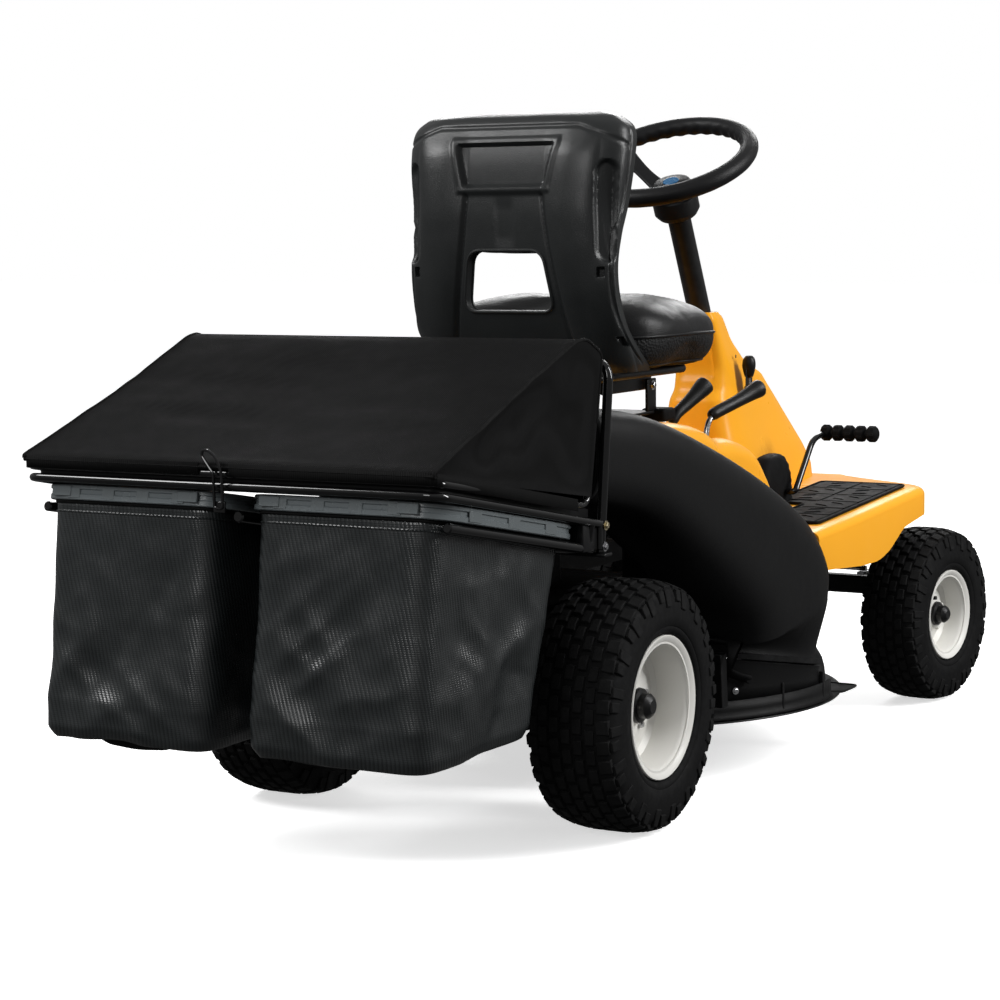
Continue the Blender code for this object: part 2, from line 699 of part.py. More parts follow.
def make_deck():
    profile = [(0.018, 0.1990), (0.300, 0.1990), (0.345, 0.1850), (0.366, 0.1500),
               (0.370, 0.1120), (DECK_RADIUS, DECK_LIP_Z), (DECK_RADIUS, 0.1045),
               (0.366, 0.1045), (0.362, 0.1490), (0.342, 0.1815), (0.300, 0.1955),
               (0.018, 0.1955)]
    shell = lathe("deck_shell", profile, closed=True, sides=40)
    place(shell, (0.0, DECK_Y, 0.0))
    corner = box("corner", (0.260, 0.385), (0.700, 0.785), (0.1048, 0.1083))
    mouth = box("mouth", (0.229, 0.450), (0.324, 0.646), (0.1395, 0.300))
    join(shell, corner)
    cut(shell, mouth)
    paint(shell, BLACK, 0.5)
    return shell


def make_blade():
    blade = bevel(box("blade", (-0.345, 0.345), (DECK_Y - 0.028, DECK_Y + 0.028),
                      (0.1250, 0.1290)), 0.0012)
    paint(blade, STEEL, 0.35, 1.0)
    return blade


def make_adapter():
    """The discharge adapter on the deck, a short open duct whose outer wall is curved."""
    def ring(z_rear, z_front, inset):
        points = []
        for a, b in squircle(16, 0.45):
            y = 0.487 + b * (0.156 - inset)
            x_low = 0.234 + inset
            x = x_low + (a + 1) / 2 * (adapter_x(y) - inset - x_low)
            points.append((x, y, z_rear + (z_front - z_rear) * (b + 1) / 2))
        return points
    rings = [ring(0.1400, 0.1400, 0.0), ring(0.165, 0.150, 0.0), ring(0.222, 0.165, 0.002)]
    adapter = thicken(loft("chute_adapter", rings, caps=(False, False)), 0.0035)
    paint(adapter, SATIN, 0.55)
    return adapter


# each row: top edge (y, z), bottom edge (y, z), inner x, outer x
CHUTE = (((-0.142, 0.676), (-0.156, 0.530), 0.192, 0.340),
         ((0.026, 0.652), (0.010, 0.492), 0.198, 0.367),
         ((0.228, 0.588), (0.144, 0.416), 0.209, 0.385),
         ((0.430, 0.510), (0.250, 0.345), 0.215, 0.394),
         ((0.582, 0.432), (0.318, 0.296), 0.222, 0.399),
         ((0.662, 0.350), (0.343, 0.265), 0.226, 0.401),
         ((0.666, 0.288), (0.352, 0.245), 0.230, 0.399))


def make_chute():
    rings = []
    for (ty, tz), (by, bz), inner, outer in CHUTE:
        ring = []
        for a, b in squircle(16, 0.50):
            x = (inner + outer) / 2 + a * (outer - inner) / 2
            ring.append((x, (ty + by) / 2 + b * (ty - by) / 2, (tz + bz) / 2 + b * (tz - bz) / 2))
        rings.append(ring)
    for rise, inset in ((0.030, 0.004), (0.0012, 0.002)):
        ring = []
        for a, b in squircle(16, 0.45):
            y = 0.487 + b * (0.156 - inset)
            x_low = 0.234 + inset
            x = x_low + (a + 1) / 2 * (adapter_x(y) - inset - x_low)
            ring.append((x, y, 0.222 + (0.165 - 0.222) * (b + 1) / 2 + rise))
        rings.append(ring)
    chute = thicken(loft("discharge_chute", rings, caps=(False, False)), 0.0035)
    paint(chute, SATIN, 0.55)
    return chute


def make_latch():
    """The strap that holds the chute to its adapter."""
    points = [(adapter_x(y) + 0.009, y, z) for y, z in ((0.370, 0.200), (0.392, 0.184),
                                                        (0.418, 0.172))]
    latch = tube("chute_latch", points, 0.005)
    paint(latch, BLACK, 0.5)
    return latch


# ---------------------------------------------------------------- seat
def make_seat_base():
    base = box("seat_base", (-0.105, 0.105), (0.240, 0.536), (0.6130, 0.6185))
    ears = [box("ear", (s * 0.1015 - 0.0030, s * 0.1015 + 0.0030), (0.500, 0.535), (0.615, 0.676))
            for s in (-1, 1)]
    join(base, *ears)
    paint(base, BLACK, 0.45, 0.3)
    return base


def make_seat_pan():
    pan = bevel(box("seat_pan", (-0.150, 0.150), (0.235, 0.566), (0.684, 0.7005)), 0.010, 2)
    arms = [box("arm", (s * 0.0915 - 0.0050, s * 0.0915 + 0.0050), (0.350, 0.534), (0.656, 0.690))
            for s in (-1, 1)]
    pan = join(pan, *arms)
    paint(pan, BLACK, 0.55)
    return pan


# each row: height, rear y, half width, how far the wings reach forward
SEAT_SHELL = ((0.7012, 0.235, 0.194, 0.062), (0.740, 0.214, 0.197, 0.046),
              (0.780, 0.200, 0.197, 0.034), (0.830, 0.188, 0.195, 0.030),
              (0.880, 0.181, 0.194, 0.032), (0.930, 0.177, 0.195, 0.048),
              (0.980, 0.176, 0.197, 0.070), (1.050, 0.182, 0.204, 0.074),
              (1.100, 0.194, 0.202, 0.070), (1.122, 0.206, 0.180, 0.056),
              (1.131, 0.222, 0.157, 0.035))
SHELL_THICK = 0.024


def make_seat_shell():
    rings = []
    for z, rear, half, wing in SEAT_SHELL:
        outer = [(half, rear + wing), (half - 0.004, rear + wing * 0.45), (half - 0.035, rear + 0.006),
                 (half - 0.075, rear)]
        back = [(x - (SHELL_THICK * 0.8 if i < 2 else 0.012), y + (0.002 if i == 0 else SHELL_THICK))
                for i, (x, y) in enumerate(outer)]
        ring = [(-x, y, z) for x, y in outer] + [(x, y, z) for x, y in reversed(outer)]
        ring += [(x, y, z) for x, y in back] + [(-x, y, z) for x, y in reversed(back)]
        rings.append(ring)
    shell = loft("seat_shell", rings)
    window = loft("window", [[(-0.086, y, 0.803), (0.086, y, 0.803), (0.070, y, 0.906),
                              (-0.070, y, 0.906)] for y in (0.10, 0.30)])
    cut(shell, window)
    paint(shell, BLACK, 0.5)
    return shell


def pillow(name, levels, axis_points):
    """A soft block: rings of a rounded outline, one for each level."""
    rings = []
    for scale, offset in levels:
        ring = []
        for a, b in squircle(16, 0.55):
            ring.append(axis_points(a * scale, b * scale, offset))
        rings.append(ring)
    return loft(name, rings)


def make_cushions():
    def seat_point(a, b, height):
        return (a * 0.212, 0.452 + b * 0.178, 0.7011 + height)
    levels = ((0.86, 0.0), (0.95, 0.018), (1.0, 0.060), (0.94, 0.098), (0.60, 0.114))
    seat = pillow("seat_cushion", levels, seat_point)
    paint(seat, BLACK, 0.45)

    def back_point(a, b, depth):
        z = 1.000 + b * 0.108
        return (a * 0.142, 0.2090 + depth + 0.020 * abs(b) ** 3, z)
    levels = ((0.96, 0.002), (1.0, 0.012), (0.97, 0.030), (0.80, 0.044))
    back = pillow("back_cushion", levels, back_point)
    paint(back, BLACK, 0.45)
    return seat, back


# ---------------------------------------------------------------- collector
def on_slope(y, drop=0.0):
    """Height on the collector's sloping plane, drop metres below the hood tube."""
    return BAG_REAR_Z - math.tan(BAG_SLOPE) * (y - BAG_REAR_Y) - drop


def make_bagger_bracket():
    cross = box("bagger_bracket", (-0.362, 0.362), (-0.168, -0.142), (0.4530, 0.4590))
    legs = [box("leg", (s * RAIL_X - 0.014, s * RAIL_X + 0.014), (-0.157, -0.143),
                (PLATE_TOP + GAP, 0.456)) for s in (-1, 1)]
    join(cross, *legs)
    paint(cross, BLACK, 0.4, 0.4)
    return cross


def make_post_frame():
    x, hinge = 0.350, HOOD_HINGE
    foot = (-0.1595, 0.4600)
    points = [(-x, *foot), (-x, *hinge[1:]), (x, *hinge[1:]), (x, *foot)]
    posts = tube("post_frame", rounded_path(points, 0.030, 4), POST_R)
    paint(posts, BLACK, 0.2, 0.3)
    return posts


def make_bag_support():
    """Upper U-shaped tube with three rails and a cross tube below it, welded together."""
    front = -0.1640
    x = 0.352
    rim = [(-x, front, on_slope(front, SUPPORT_DROP)), (-x, BAG_REAR_Y, on_slope(BAG_REAR_Y, SUPPORT_DROP)),
           (x, BAG_REAR_Y, on_slope(BAG_REAR_Y, SUPPORT_DROP)), (x, front, on_slope(front, SUPPORT_DROP))]
    support = as_mesh(tube("bag_support", rounded_path(rim, 0.030, 4), TUBE_R))
    rail_drop = 0.0575
    cross_y = -0.182
    cross = cylinder("cross", 0.0075, (-0.345, cross_y, on_slope(cross_y, rail_drop)),
                     (0.345, cross_y, on_slope(cross_y, rail_drop)), 10)
    rails = []
    for rail_x, radius in ((-0.3435, 0.0075), (0.3435, 0.0075), (0.0, 0.0105)):
        ends = [(rail_x, y, on_slope(y, rail_drop)) for y in (cross_y, -0.595)]
        rails.append(cylinder("rail", radius, *ends, 10))
    hangers = []
    for side in (-1, 1):
        top = (side * 0.352, -0.190, on_slope(-0.190, SUPPORT_DROP))
        low = (side * 0.3435, -0.190, on_slope(-0.190, rail_drop))
        hangers.append(cylinder("hanger", 0.0055, top, low, 8))
    join(support, cross, *rails, *hangers)
    paint(support, BLACK, 0.2, 0.3)
    return support


def make_hood_frame():
    corner = (-0.180, on_slope(-0.180) + 0.007)
    top = (-0.1395, 0.7345)
    points = [(-0.338, *top), (-0.338, *corner), (-0.350, BAG_REAR_Y, BAG_REAR_Z),
              (0.350, BAG_REAR_Y, BAG_REAR_Z), (0.338, *corner), (0.338, *top)]
    frame = tube("hood_frame", rounded_path(points, 0.022, 3, cyclic=True), TUBE_R, cyclic=True)
    paint(frame, BLACK, 0.2, 0.3)
    return frame


HOOD_HALF = 0.352


def make_hood_cover():
    """The fabric hood, a closed shell open below and where the chute comes in."""
    hem = 0.0072
    side = [(-0.637, on_slope(-0.637) + hem), (-0.639, 0.622), (-0.225, 0.779), (-0.205, 0.781),
            (-0.149, 0.757), (-0.189, on_slope(-0.189) + hem + 0.014)]
    bm = bmesh.new()
    rows = [[bm.verts.new((s * HOOD_HALF, y, z)) for y, z in side] for s in (-1, 1)]
    for i in range(len(side) - 1):
        bm.faces.new((rows[0][i], rows[0][i + 1], rows[1][i + 1], rows[1][i]))
    for row in rows:
        bm.faces.new(row)
    cover = thicken(add_mesh("hood_cover", bm, smooth=False), 0.0035)
    cut(cover, box("inlet", (0.178, 0.346), (-0.235, -0.120), (0.48, 0.696)))
    paint(cover, NYLON, 0.8)
    return cover


def make_wire_latch():
    """A sprung wire loop over the middle of the two rear tubes."""
    y, z = BAG_REAR_Y, BAG_REAR_Z
    y -= 0.0125
    points = [(0.007, y + 0.002, z - 0.048), (0.007, y, z + 0.006), (-0.012, y, z + 0.030),
              (-0.024, y, z + 0.034), (-0.026, y, z + 0.026), (-0.007, y, z + 0.004),
              (-0.007, y + 0.002, z - 0.048)]
    latch = tube("wire_latch", rounded_path(points, 0.012, 2, cyclic=True), 0.0022, cyclic=True)
    paint(latch, STEEL, 0.25, 1.0)
    return latch


def make_bag_rim(name, side):
    """The moulded rim of one bag: a wide flange above a narrower collar."""
    inner, outer, rear, front = 0.014, 0.3500, 0.014, 0.438

    def ring(inset, drop):
        points = []
        for a, b in squircle(20, 0.32):
            x = (inner + outer) / 2 + a * ((outer - inner) / 2 - inset)
            y = (rear + front) / 2 + b * ((front - rear) / 2 - inset)
            points.append((side * x, y, -drop))
        return points
    rings = [ring(0.000, 0.0), ring(0.000, 0.022), ring(0.0195, 0.0225), ring(0.0195, 0.044),
             ring(0.0255, 0.044), ring(0.0255, 0.006), ring(0.010, 0.0)]
    rim = loft(name, rings, closed=True, caps=(False, False))
    top = on_slope(BAG_REAR_Y, SUPPORT_DROP + TUBE_R + 0.0012)
    place(rim, (0.0, BAG_REAR_Y, top), (-BAG_SLOPE, 0.0, 0.0))
    paint(rim, NYLON, 0.45)
    return rim


def make_bag(name, side):
    """A hanging bag, open at the top, its bottom pushed a little to the rear."""
    def drop_to(y):
        return on_slope(y, SUPPORT_DROP + TUBE_R + 0.0012 + 0.0465)
    rows = ((0.036, 0.3275, -0.610, -0.225, None), (0.033, 0.3280, -0.622, -0.262, 0.400),
            (0.030, 0.3300, -0.642, -0.310, 0.265), (0.034, 0.3270, -0.634, -0.325, 0.222),
            (0.052, 0.3120, -0.618, -0.340, 0.206))
    rings = []
    for x_in, x_out, rear, front, z in rows:
        ring = []
        for a, b in squircle(16, 0.22):
            x = (x_in + x_out) / 2 + a * (x_out - x_in) / 2
            y = (rear + front) / 2 + b * (front - rear) / 2
            ring.append((side * x, y, drop_to(y) if z is None else z))
        rings.append(ring)
    bag = thicken(loft(name, rings, caps=(False, True)), 0.004)
    paint(bag, NYLON, 0.8)
    return bag


# ---------------------------------------------------------------- assembly
def build():
    root = empty("mower_root", (0, 0, 0))
    attach(root, make_frame(), make_transaxle(), *make_engine(), make_console(),
           make_floor_pan(), make_mat("foot_mat_right", 1), make_mat("foot_mat_left", -1),
           make_dash_tower(), make_boot("pedal_boot_right", 1), make_seat_base(),
           make_bagger_bracket(), make_post_frame(), make_bag_support())
    tank, cap = make_fuel_tank()
    sleeve, shaft = make_column()
    attach(root, tank, sleeve,
           make_belt("drive_belt", TRANSAXLE_PULLEY_Y, DRIVE_BELT_Z, 0.0465,
                     ENGINE_Y, DRIVE_BELT_Z, 0.0365))
    attach(empty("fuel_cap_pivot", (-0.150, 0.100, 0.5525), root), cap)

    crank = make_pulley("crank_pulley", 0.042, 0.030, ENGINE_Y,
                        ((DRIVE_BELT_Z, 0.006), (CRANK_DECK_Z, 0.011)), 0.0127,
                        (0.252, RAIL_Z[1] - 0.0045))
    attach(empty("crank_pivot", (0, ENGINE_Y, CRANK_DECK_Z), root), crank)
    drive = make_pulley("transaxle_pulley", 0.052, 0.040, TRANSAXLE_PULLEY_Y,
                        ((DRIVE_BELT_Z, 0.006),), 0.0100, (0.2655, 0.338))
    attach(empty("transaxle_pivot", (0, TRANSAXLE_PULLEY_Y, DRIVE_BELT_Z), root), drive)
    belt = make_belt("deck_belt", ENGINE_Y, CRANK_DECK_Z, 0.0365, DECK_Y, DECK_PULLEY_Z, 0.0575)
    attach(empty("deck_belt_pivot", (0, ENGINE_Y, CRANK_DECK_Z), root), belt)

    wheel_pivot = empty("steering_pivot", COLUMN_TOP, root)
    attach(wheel_pivot, shaft, make_steering_wheel())
    attach(empty("sector_pivot", (-0.060, 1.120, 0.2955), root), make_sector())
    axle_pivot = empty("axle_pivot", (0, WHEELBASE, 0.220), root)
    attach(axle_pivot, make_front_axle(), make_tie_rod())
    bpy.context.view_layer.update()
    for side, tag in ((-1, "left"), (1, "right")):
        kingpin = empty(f"kingpin_{tag}", (side * KINGPIN_X, 0, 0), axle_pivot)
        bpy.context.view_layer.update()
        attach(kingpin, make_spindle(f"spindle_{tag}", side))
        size = FRONT_TYRE
        attach(kingpin, *make_wheel(side, size, "front", WHEELBASE, side * size["x"],
                                    STEER_REST, 0.0))
        size = REAR_TYRE
        spin = empty(f"rear_wheel_pivot_{tag}", (side * size["x"], 0, size["radius"]), root)
        attach(spin, *make_wheel(side, size, "rear", 0.0, side * size["x"], 0.0, 0.198))

    drive_pivot = empty("drive_pedal_pivot", (0.190, 0.955, 0.437), root)
    attach(drive_pivot, make_pedal("drive_pedal", 1, 1.0876), make_pad("drive_pedal_pad", 1))
    brake_pivot = empty("brake_pedal_pivot", (-0.190, 0.955, 0.437), root)
    attach(brake_pivot, make_brake_pedal())
    pto, lift, throttle = make_levers()
    attach(empty("pto_pivot", (0.100, 0.580, 0.470), root), pto)
    attach(empty("lift_pivot", (0.150, 0.620, 0.450), root), lift)
    attach(empty("throttle_pivot", (0.0745, 1.000, 0.615), root), throttle)

    deck = empty("deck_lift", (0, DECK_Y, DECK_LIP_Z), root)
    attach(deck, make_deck(), make_adapter(), make_chute(), make_latch())
    bpy.context.view_layer.update()
    spindle = make_pulley("blade_spindle", 0.062, 0.050, DECK_Y, ((DECK_PULLEY_Z, 0.0115),),
                          0.0130, (0.1295, 0.3115))
    blade_pivot = empty("blade_pivot", (0, 0, 0), deck)
    attach(blade_pivot, spindle, make_blade())

    seat = empty("seat_pivot", SEAT_HINGE, root)
    attach(seat, make_seat_pan(), make_seat_shell(), *make_cushions())
    hood = empty("hood_pivot", HOOD_HINGE, root)
    attach(hood, make_hood_frame(), make_hood_cover())
    bpy.context.view_layer.update()
    latch = empty("latch_pivot", (0, BAG_REAR_Y - HOOD_HINGE[1], BAG_REAR_Z - HOOD_HINGE[2]), hood)
    attach(latch, make_wire_latch())
    for side, tag in ((-1, "left"), (1, "right")):
        slide = empty(f"bag_slide_{tag}", (side * 0.182, BAG_REAR_Y, 0.56), root)
        attach(slide, make_bag_rim(f"bag_rim_{tag}", side), make_bag(f"bag_{tag}", side))
    root.location = (0.0, -ORIGIN_Y, 0.0)
    bpy.context.view_layer.update()


build()
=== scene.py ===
"""Looks of the riding mower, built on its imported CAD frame.

Machine frame of the dimensions: X to the machine's right, Y forward from the rear axle and
Z up from the ground, in metres; at() turns it into the row frame with the frame's own tyres.
"""

import json
import math

import bmesh
import bpy
import numpy as np
from mathutils import Matrix, Vector, noise
from mathutils.bvhtree import BVHTree


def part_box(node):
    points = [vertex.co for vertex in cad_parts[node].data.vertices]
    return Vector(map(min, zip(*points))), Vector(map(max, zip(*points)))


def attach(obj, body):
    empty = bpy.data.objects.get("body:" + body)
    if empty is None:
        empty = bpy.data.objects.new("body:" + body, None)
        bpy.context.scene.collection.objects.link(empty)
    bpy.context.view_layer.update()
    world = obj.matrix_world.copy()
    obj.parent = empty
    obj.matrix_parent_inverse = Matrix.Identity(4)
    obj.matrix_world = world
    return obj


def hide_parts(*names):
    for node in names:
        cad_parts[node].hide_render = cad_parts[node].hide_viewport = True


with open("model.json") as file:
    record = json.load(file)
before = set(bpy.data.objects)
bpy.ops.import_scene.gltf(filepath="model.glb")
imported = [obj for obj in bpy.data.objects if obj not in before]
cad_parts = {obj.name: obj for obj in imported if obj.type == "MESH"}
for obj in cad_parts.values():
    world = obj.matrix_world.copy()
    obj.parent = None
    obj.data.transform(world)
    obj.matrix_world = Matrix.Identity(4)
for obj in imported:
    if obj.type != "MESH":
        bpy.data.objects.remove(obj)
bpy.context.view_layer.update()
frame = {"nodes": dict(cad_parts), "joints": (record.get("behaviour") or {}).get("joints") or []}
JOINTS = {joint["name"]: joint for joint in frame["joints"]}


def middle(node):
    """The centre of a CAD node's box."""
    low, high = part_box(node)
    return (low + high) / 2


AXLE_Y = middle("rear_tyre_right").y


SIDES = ((-1, "left"), (1, "right"))


def at(x, y, z):
    """A point of the machine frame, in the row frame."""
    return Vector((x, y + AXLE_Y, z))


# ---------------------------------------------------------------- camera, floor and light
def look_from():
    """The photo's camera, solved from the wheels and the level and upright edges."""
    place = at(2.1387, -3.6144, 0.9585)
    yaw, pitch, roll = 0.5161, 0.1072, -0.0112
    ahead = Vector((-math.sin(yaw) * math.cos(pitch), math.cos(yaw) * math.cos(pitch),
                    -math.sin(pitch)))
    right = Vector((math.cos(yaw), math.sin(yaw), 0.0))
    up = right.cross(ahead)
    tilted = math.cos(roll) * right + math.sin(roll) * up
    upright = math.cos(roll) * up - math.sin(roll) * right
    data = bpy.data.cameras.new("camera")
    data.lens = 94.24
    data.sensor_width = 36.0
    data.clip_end = 60.0
    camera = bpy.data.objects.new("camera", data)
    turn = Matrix((tilted, upright, -ahead)).transposed().to_4x4()
    camera.matrix_world = Matrix.Translation(place) @ turn
    bpy.context.scene.collection.objects.link(camera)
    bpy.context.scene.camera = camera
    bpy.context.scene.view_settings.view_transform = "Standard"


def area_light(name, place, target, size, power):
    data = bpy.data.lights.new(name, "AREA")
    data.shape = "RECTANGLE"
    data.size, data.size_y = size
    data.energy = power
    lamp = bpy.data.objects.new(name, data)
    lamp.location = place
    lamp.rotation_euler = (Vector(target) - Vector(place)).to_track_quat("-Z", "Y").to_euler()
    bpy.context.scene.collection.objects.link(lamp)


def make_world():
    """White to the camera, and a grey gradient that is brighter above to everything else."""
    world = bpy.data.worlds.new("studio")
    world.use_nodes = True
    nodes, links = world.node_tree.nodes, world.node_tree.links
    backdrop = nodes["Background"]
    backdrop.inputs["Color"].default_value = (1.0, 1.0, 1.0, 1.0)
    dim = nodes.new("ShaderNodeBackground")
    coords = nodes.new("ShaderNodeTexCoord")
    split = nodes.new("ShaderNodeSeparateXYZ")
    links.new(coords.outputs["Generated"], split.inputs[0])
    ramp = nodes.new("ShaderNodeMapRange")
    for key, value in (("From Min", -0.4), ("From Max", 0.9), ("To Min", 0.10), ("To Max", 0.50)):
        ramp.inputs[key].default_value = value
    links.new(split.outputs["Z"], ramp.inputs["Value"])
    links.new(ramp.outputs["Result"], dim.inputs["Color"])
    path = nodes.new("ShaderNodeLightPath")
    mix = nodes.new("ShaderNodeMixShader")
    links.new(path.outputs["Is Camera Ray"], mix.inputs[0])
    links.new(dim.outputs[0], mix.inputs[1])
    links.new(backdrop.outputs[0], mix.inputs[2])
    links.new(mix.outputs[0], nodes["World Output"].inputs["Surface"])
    bpy.context.scene.world = world


def make_floor():
    """A glowing white paper floor that only the camera sees, so it lights nothing from below."""
    bm = bmesh.new()
    bmesh.ops.create_grid(bm, x_segments=1, y_segments=1, size=30.0)
    floor = place_mesh("floor", bm)
    floor.location.z = -0.0005
    floor.visible_glossy = False
    floor.visible_diffuse = False
    paper = Surface("floor_paper", (0.96, 0.96, 0.96), 0.95, spec=0.1)
    paper.mottle(3.0, 0.004).set(Emission_Color=(1, 1, 1, 1), Emission_Strength=0.62)
    floor.data.materials.append(paper.mat)


def make_studio():
    make_world()
    make_floor()
    area_light("key", (-2.6, -2.4, 3.2), (0, 0, 0.4), (1.8, 1.4), 125)
    area_light("rim", (3.4, 1.2, 2.4), (0, 0, 0.5), (0.8, 2.4), 145)
    area_light("back", (-1.5, 4.0, 2.6), (0, 0, 0.6), (3.0, 1.2), 85)
    area_light("front", (0.6, -5.0, 2.6), (0, -0.4, 0.5), (2.0, 1.4), 75)


# ---------------------------------------------------------------- materials
class Surface:
    """A Principled material whose colour, roughness and bump are built up in steps."""

    def __init__(self, name, colour, roughness, metallic=0.0, spec=0.3):
        self.mat = bpy.data.materials.new(name)
        self.mat.use_nodes = True
        self.tree = self.mat.node_tree
        self.shader = self.tree.nodes["Principled BSDF"]
        self.shader.inputs["Metallic"].default_value = metallic
        self.shader.inputs["Specular IOR Level"].default_value = spec
        self.shader.inputs["Roughness"].default_value = roughness
        self.shader.inputs["Base Color"].default_value = (*colour, 1.0)
        self.colour = colour
        self.roughness = roughness
        self.colour_out = None
        self.normal_out = None
        coords = self.tree.nodes.new("ShaderNodeTexCoord")
        self.coords = coords.outputs["Object"]

    def set(self, **values):
        for name, value in values.items():
            self.shader.inputs[name.replace("_", " ")].default_value = value
        return self

    def node(self, kind, inputs=(), **settings):
        made = self.tree.nodes.new(kind)
        for key, value in settings.items():
            setattr(made, key, value)
        for key, value in dict(inputs).items():
            if isinstance(value, bpy.types.NodeSocket):
                self.tree.links.new(value, made.inputs[key])
            else:
                made.inputs[key].default_value = value
        return made

    def noise(self, scale, detail=2.0, stretch=None):
        place = self.coords
        if stretch:
            place = self.node("ShaderNodeMapping", {0: place, "Scale": stretch}).outputs[0]
        made = self.node("ShaderNodeTexNoise", {"Vector": place, "Scale": scale,
                                                "Detail": detail})
        return made.outputs[0]

    def ramp(self, value, low, high, to_low, to_high):
        made = self.node("ShaderNodeMapRange", {0: value, 1: low, 2: high, 3: to_low,
                                                4: to_high})
        return made.outputs[0]

    def tint(self, factor, colour):
        """Mix another colour in where the factor is high."""
        made = self.node("ShaderNodeMix", data_type="RGBA")
        self.tree.links.new(factor, made.inputs[0])
        if self.colour_out is None:
            made.inputs[6].default_value = (*self.colour, 1.0)
        else:
            self.tree.links.new(self.colour_out, made.inputs[6])
        made.inputs[7].default_value = (*colour, 1.0)
        self.colour_out = made.outputs[2]
        self.tree.links.new(self.colour_out, self.shader.inputs["Base Color"])
        return self

    def mottle(self, scale, amount, rough=0.06):
        """Soft cloudy change of colour and gloss."""
        cloud = self.noise(scale, 3.0)
        other = [min(1.0, c * (1 + 8 * amount) + amount * 0.06) for c in self.colour]
        self.tint(self.ramp(cloud, 0.35, 0.7, 0.0, 0.8), other)
        fine = self.noise(scale * 6, 3.0)
        low, high = max(0.02, self.roughness - rough), min(1.0, self.roughness + rough)
        gloss = self.ramp(fine, 0.3, 0.7, low, high)
        self.tree.links.new(gloss, self.shader.inputs["Roughness"])
        return self

    def worn(self, colour, start=0.53, amount=0.5):
        """Lighter along raised edges."""
        edge = self.node("ShaderNodeNewGeometry").outputs["Pointiness"]
        scuffed = self.node("ShaderNodeMath", {0: self.ramp(edge, start, start + 0.07, 0, 1),
                                               1: self.noise(60.0, 4.0)}, operation="MULTIPLY")
        return self.tint(self.ramp(scuffed.outputs[0], 0.25, 0.75, 0.0, amount), colour)

    def bump(self, height, strength, distance):
        made = self.node("ShaderNodeBump", {"Height": height, "Strength": strength,
                                            "Distance": distance})
        if self.normal_out is not None:
            self.tree.links.new(self.normal_out, made.inputs["Normal"])
        self.normal_out = made.outputs[0]
        self.tree.links.new(self.normal_out, self.shader.inputs["Normal"])
        return self

    def grain(self, scale, distance, strength=0.6, cells=False):
        if cells:
            made = self.node("ShaderNodeTexVoronoi", {"Vector": self.coords, "Scale": scale})
            return self.bump(made.outputs["Distance"], strength, distance)
        return self.bump(self.noise(scale, 3.0), strength, distance)

    def ribs(self, direction, period, distance, strength=1.0, wobble=0.0, tint=None, lean=1.0):
        """Fine parallel ribs along a direction; tint darkens the grooves between them as painted shade.
        """
        place = self.node("ShaderNodeMapping", {0: self.coords, "Scale": (1, 1, lean)}).outputs[0]
        wave = self.node("ShaderNodeTexWave", {"Vector": place, "Scale": 1.0,
                                               "Distortion": wobble, "Detail": 2.0},
                         wave_type="BANDS", bands_direction=direction, wave_profile="SIN")
        wave.inputs["Scale"].default_value = 2 * math.pi / (20.0 * period)
        wave.inputs["Detail Scale"].default_value = 0.5
        if tint:
            self.tint(self.ramp(wave.outputs["Fac"], 0.1, 0.6, 0.75, 0.0), tint)
        return self.bump(wave.outputs["Fac"], strength, distance)


def plastic(name, colour, roughness, scale=900.0, spec=0.2, wear=(0.035, 0.035, 0.036)):
    made = Surface(name, colour, roughness, spec=spec).mottle(7.0, 0.010, 0.03)
    return made.worn(wear, amount=0.35).grain(scale, 0.0006, 0.5)


def paint_gloss(name, colour, roughness=0.22, spec=0.5):
    made = Surface(name, colour, roughness, spec=spec).mottle(5.0, 0.015, 0.04)
    return made.grain(140.0, 0.0004, 0.10)


def metal(name, colour, roughness, scale=400.0, wear=1.5):
    made = Surface(name, colour, roughness, 1.0).mottle(18.0, 0.03, 0.12)
    bright = tuple(min(1.0, c * wear) for c in colour)
    return made.worn(bright, amount=0.5).grain(scale, 0.0003, 0.4)


M = {}


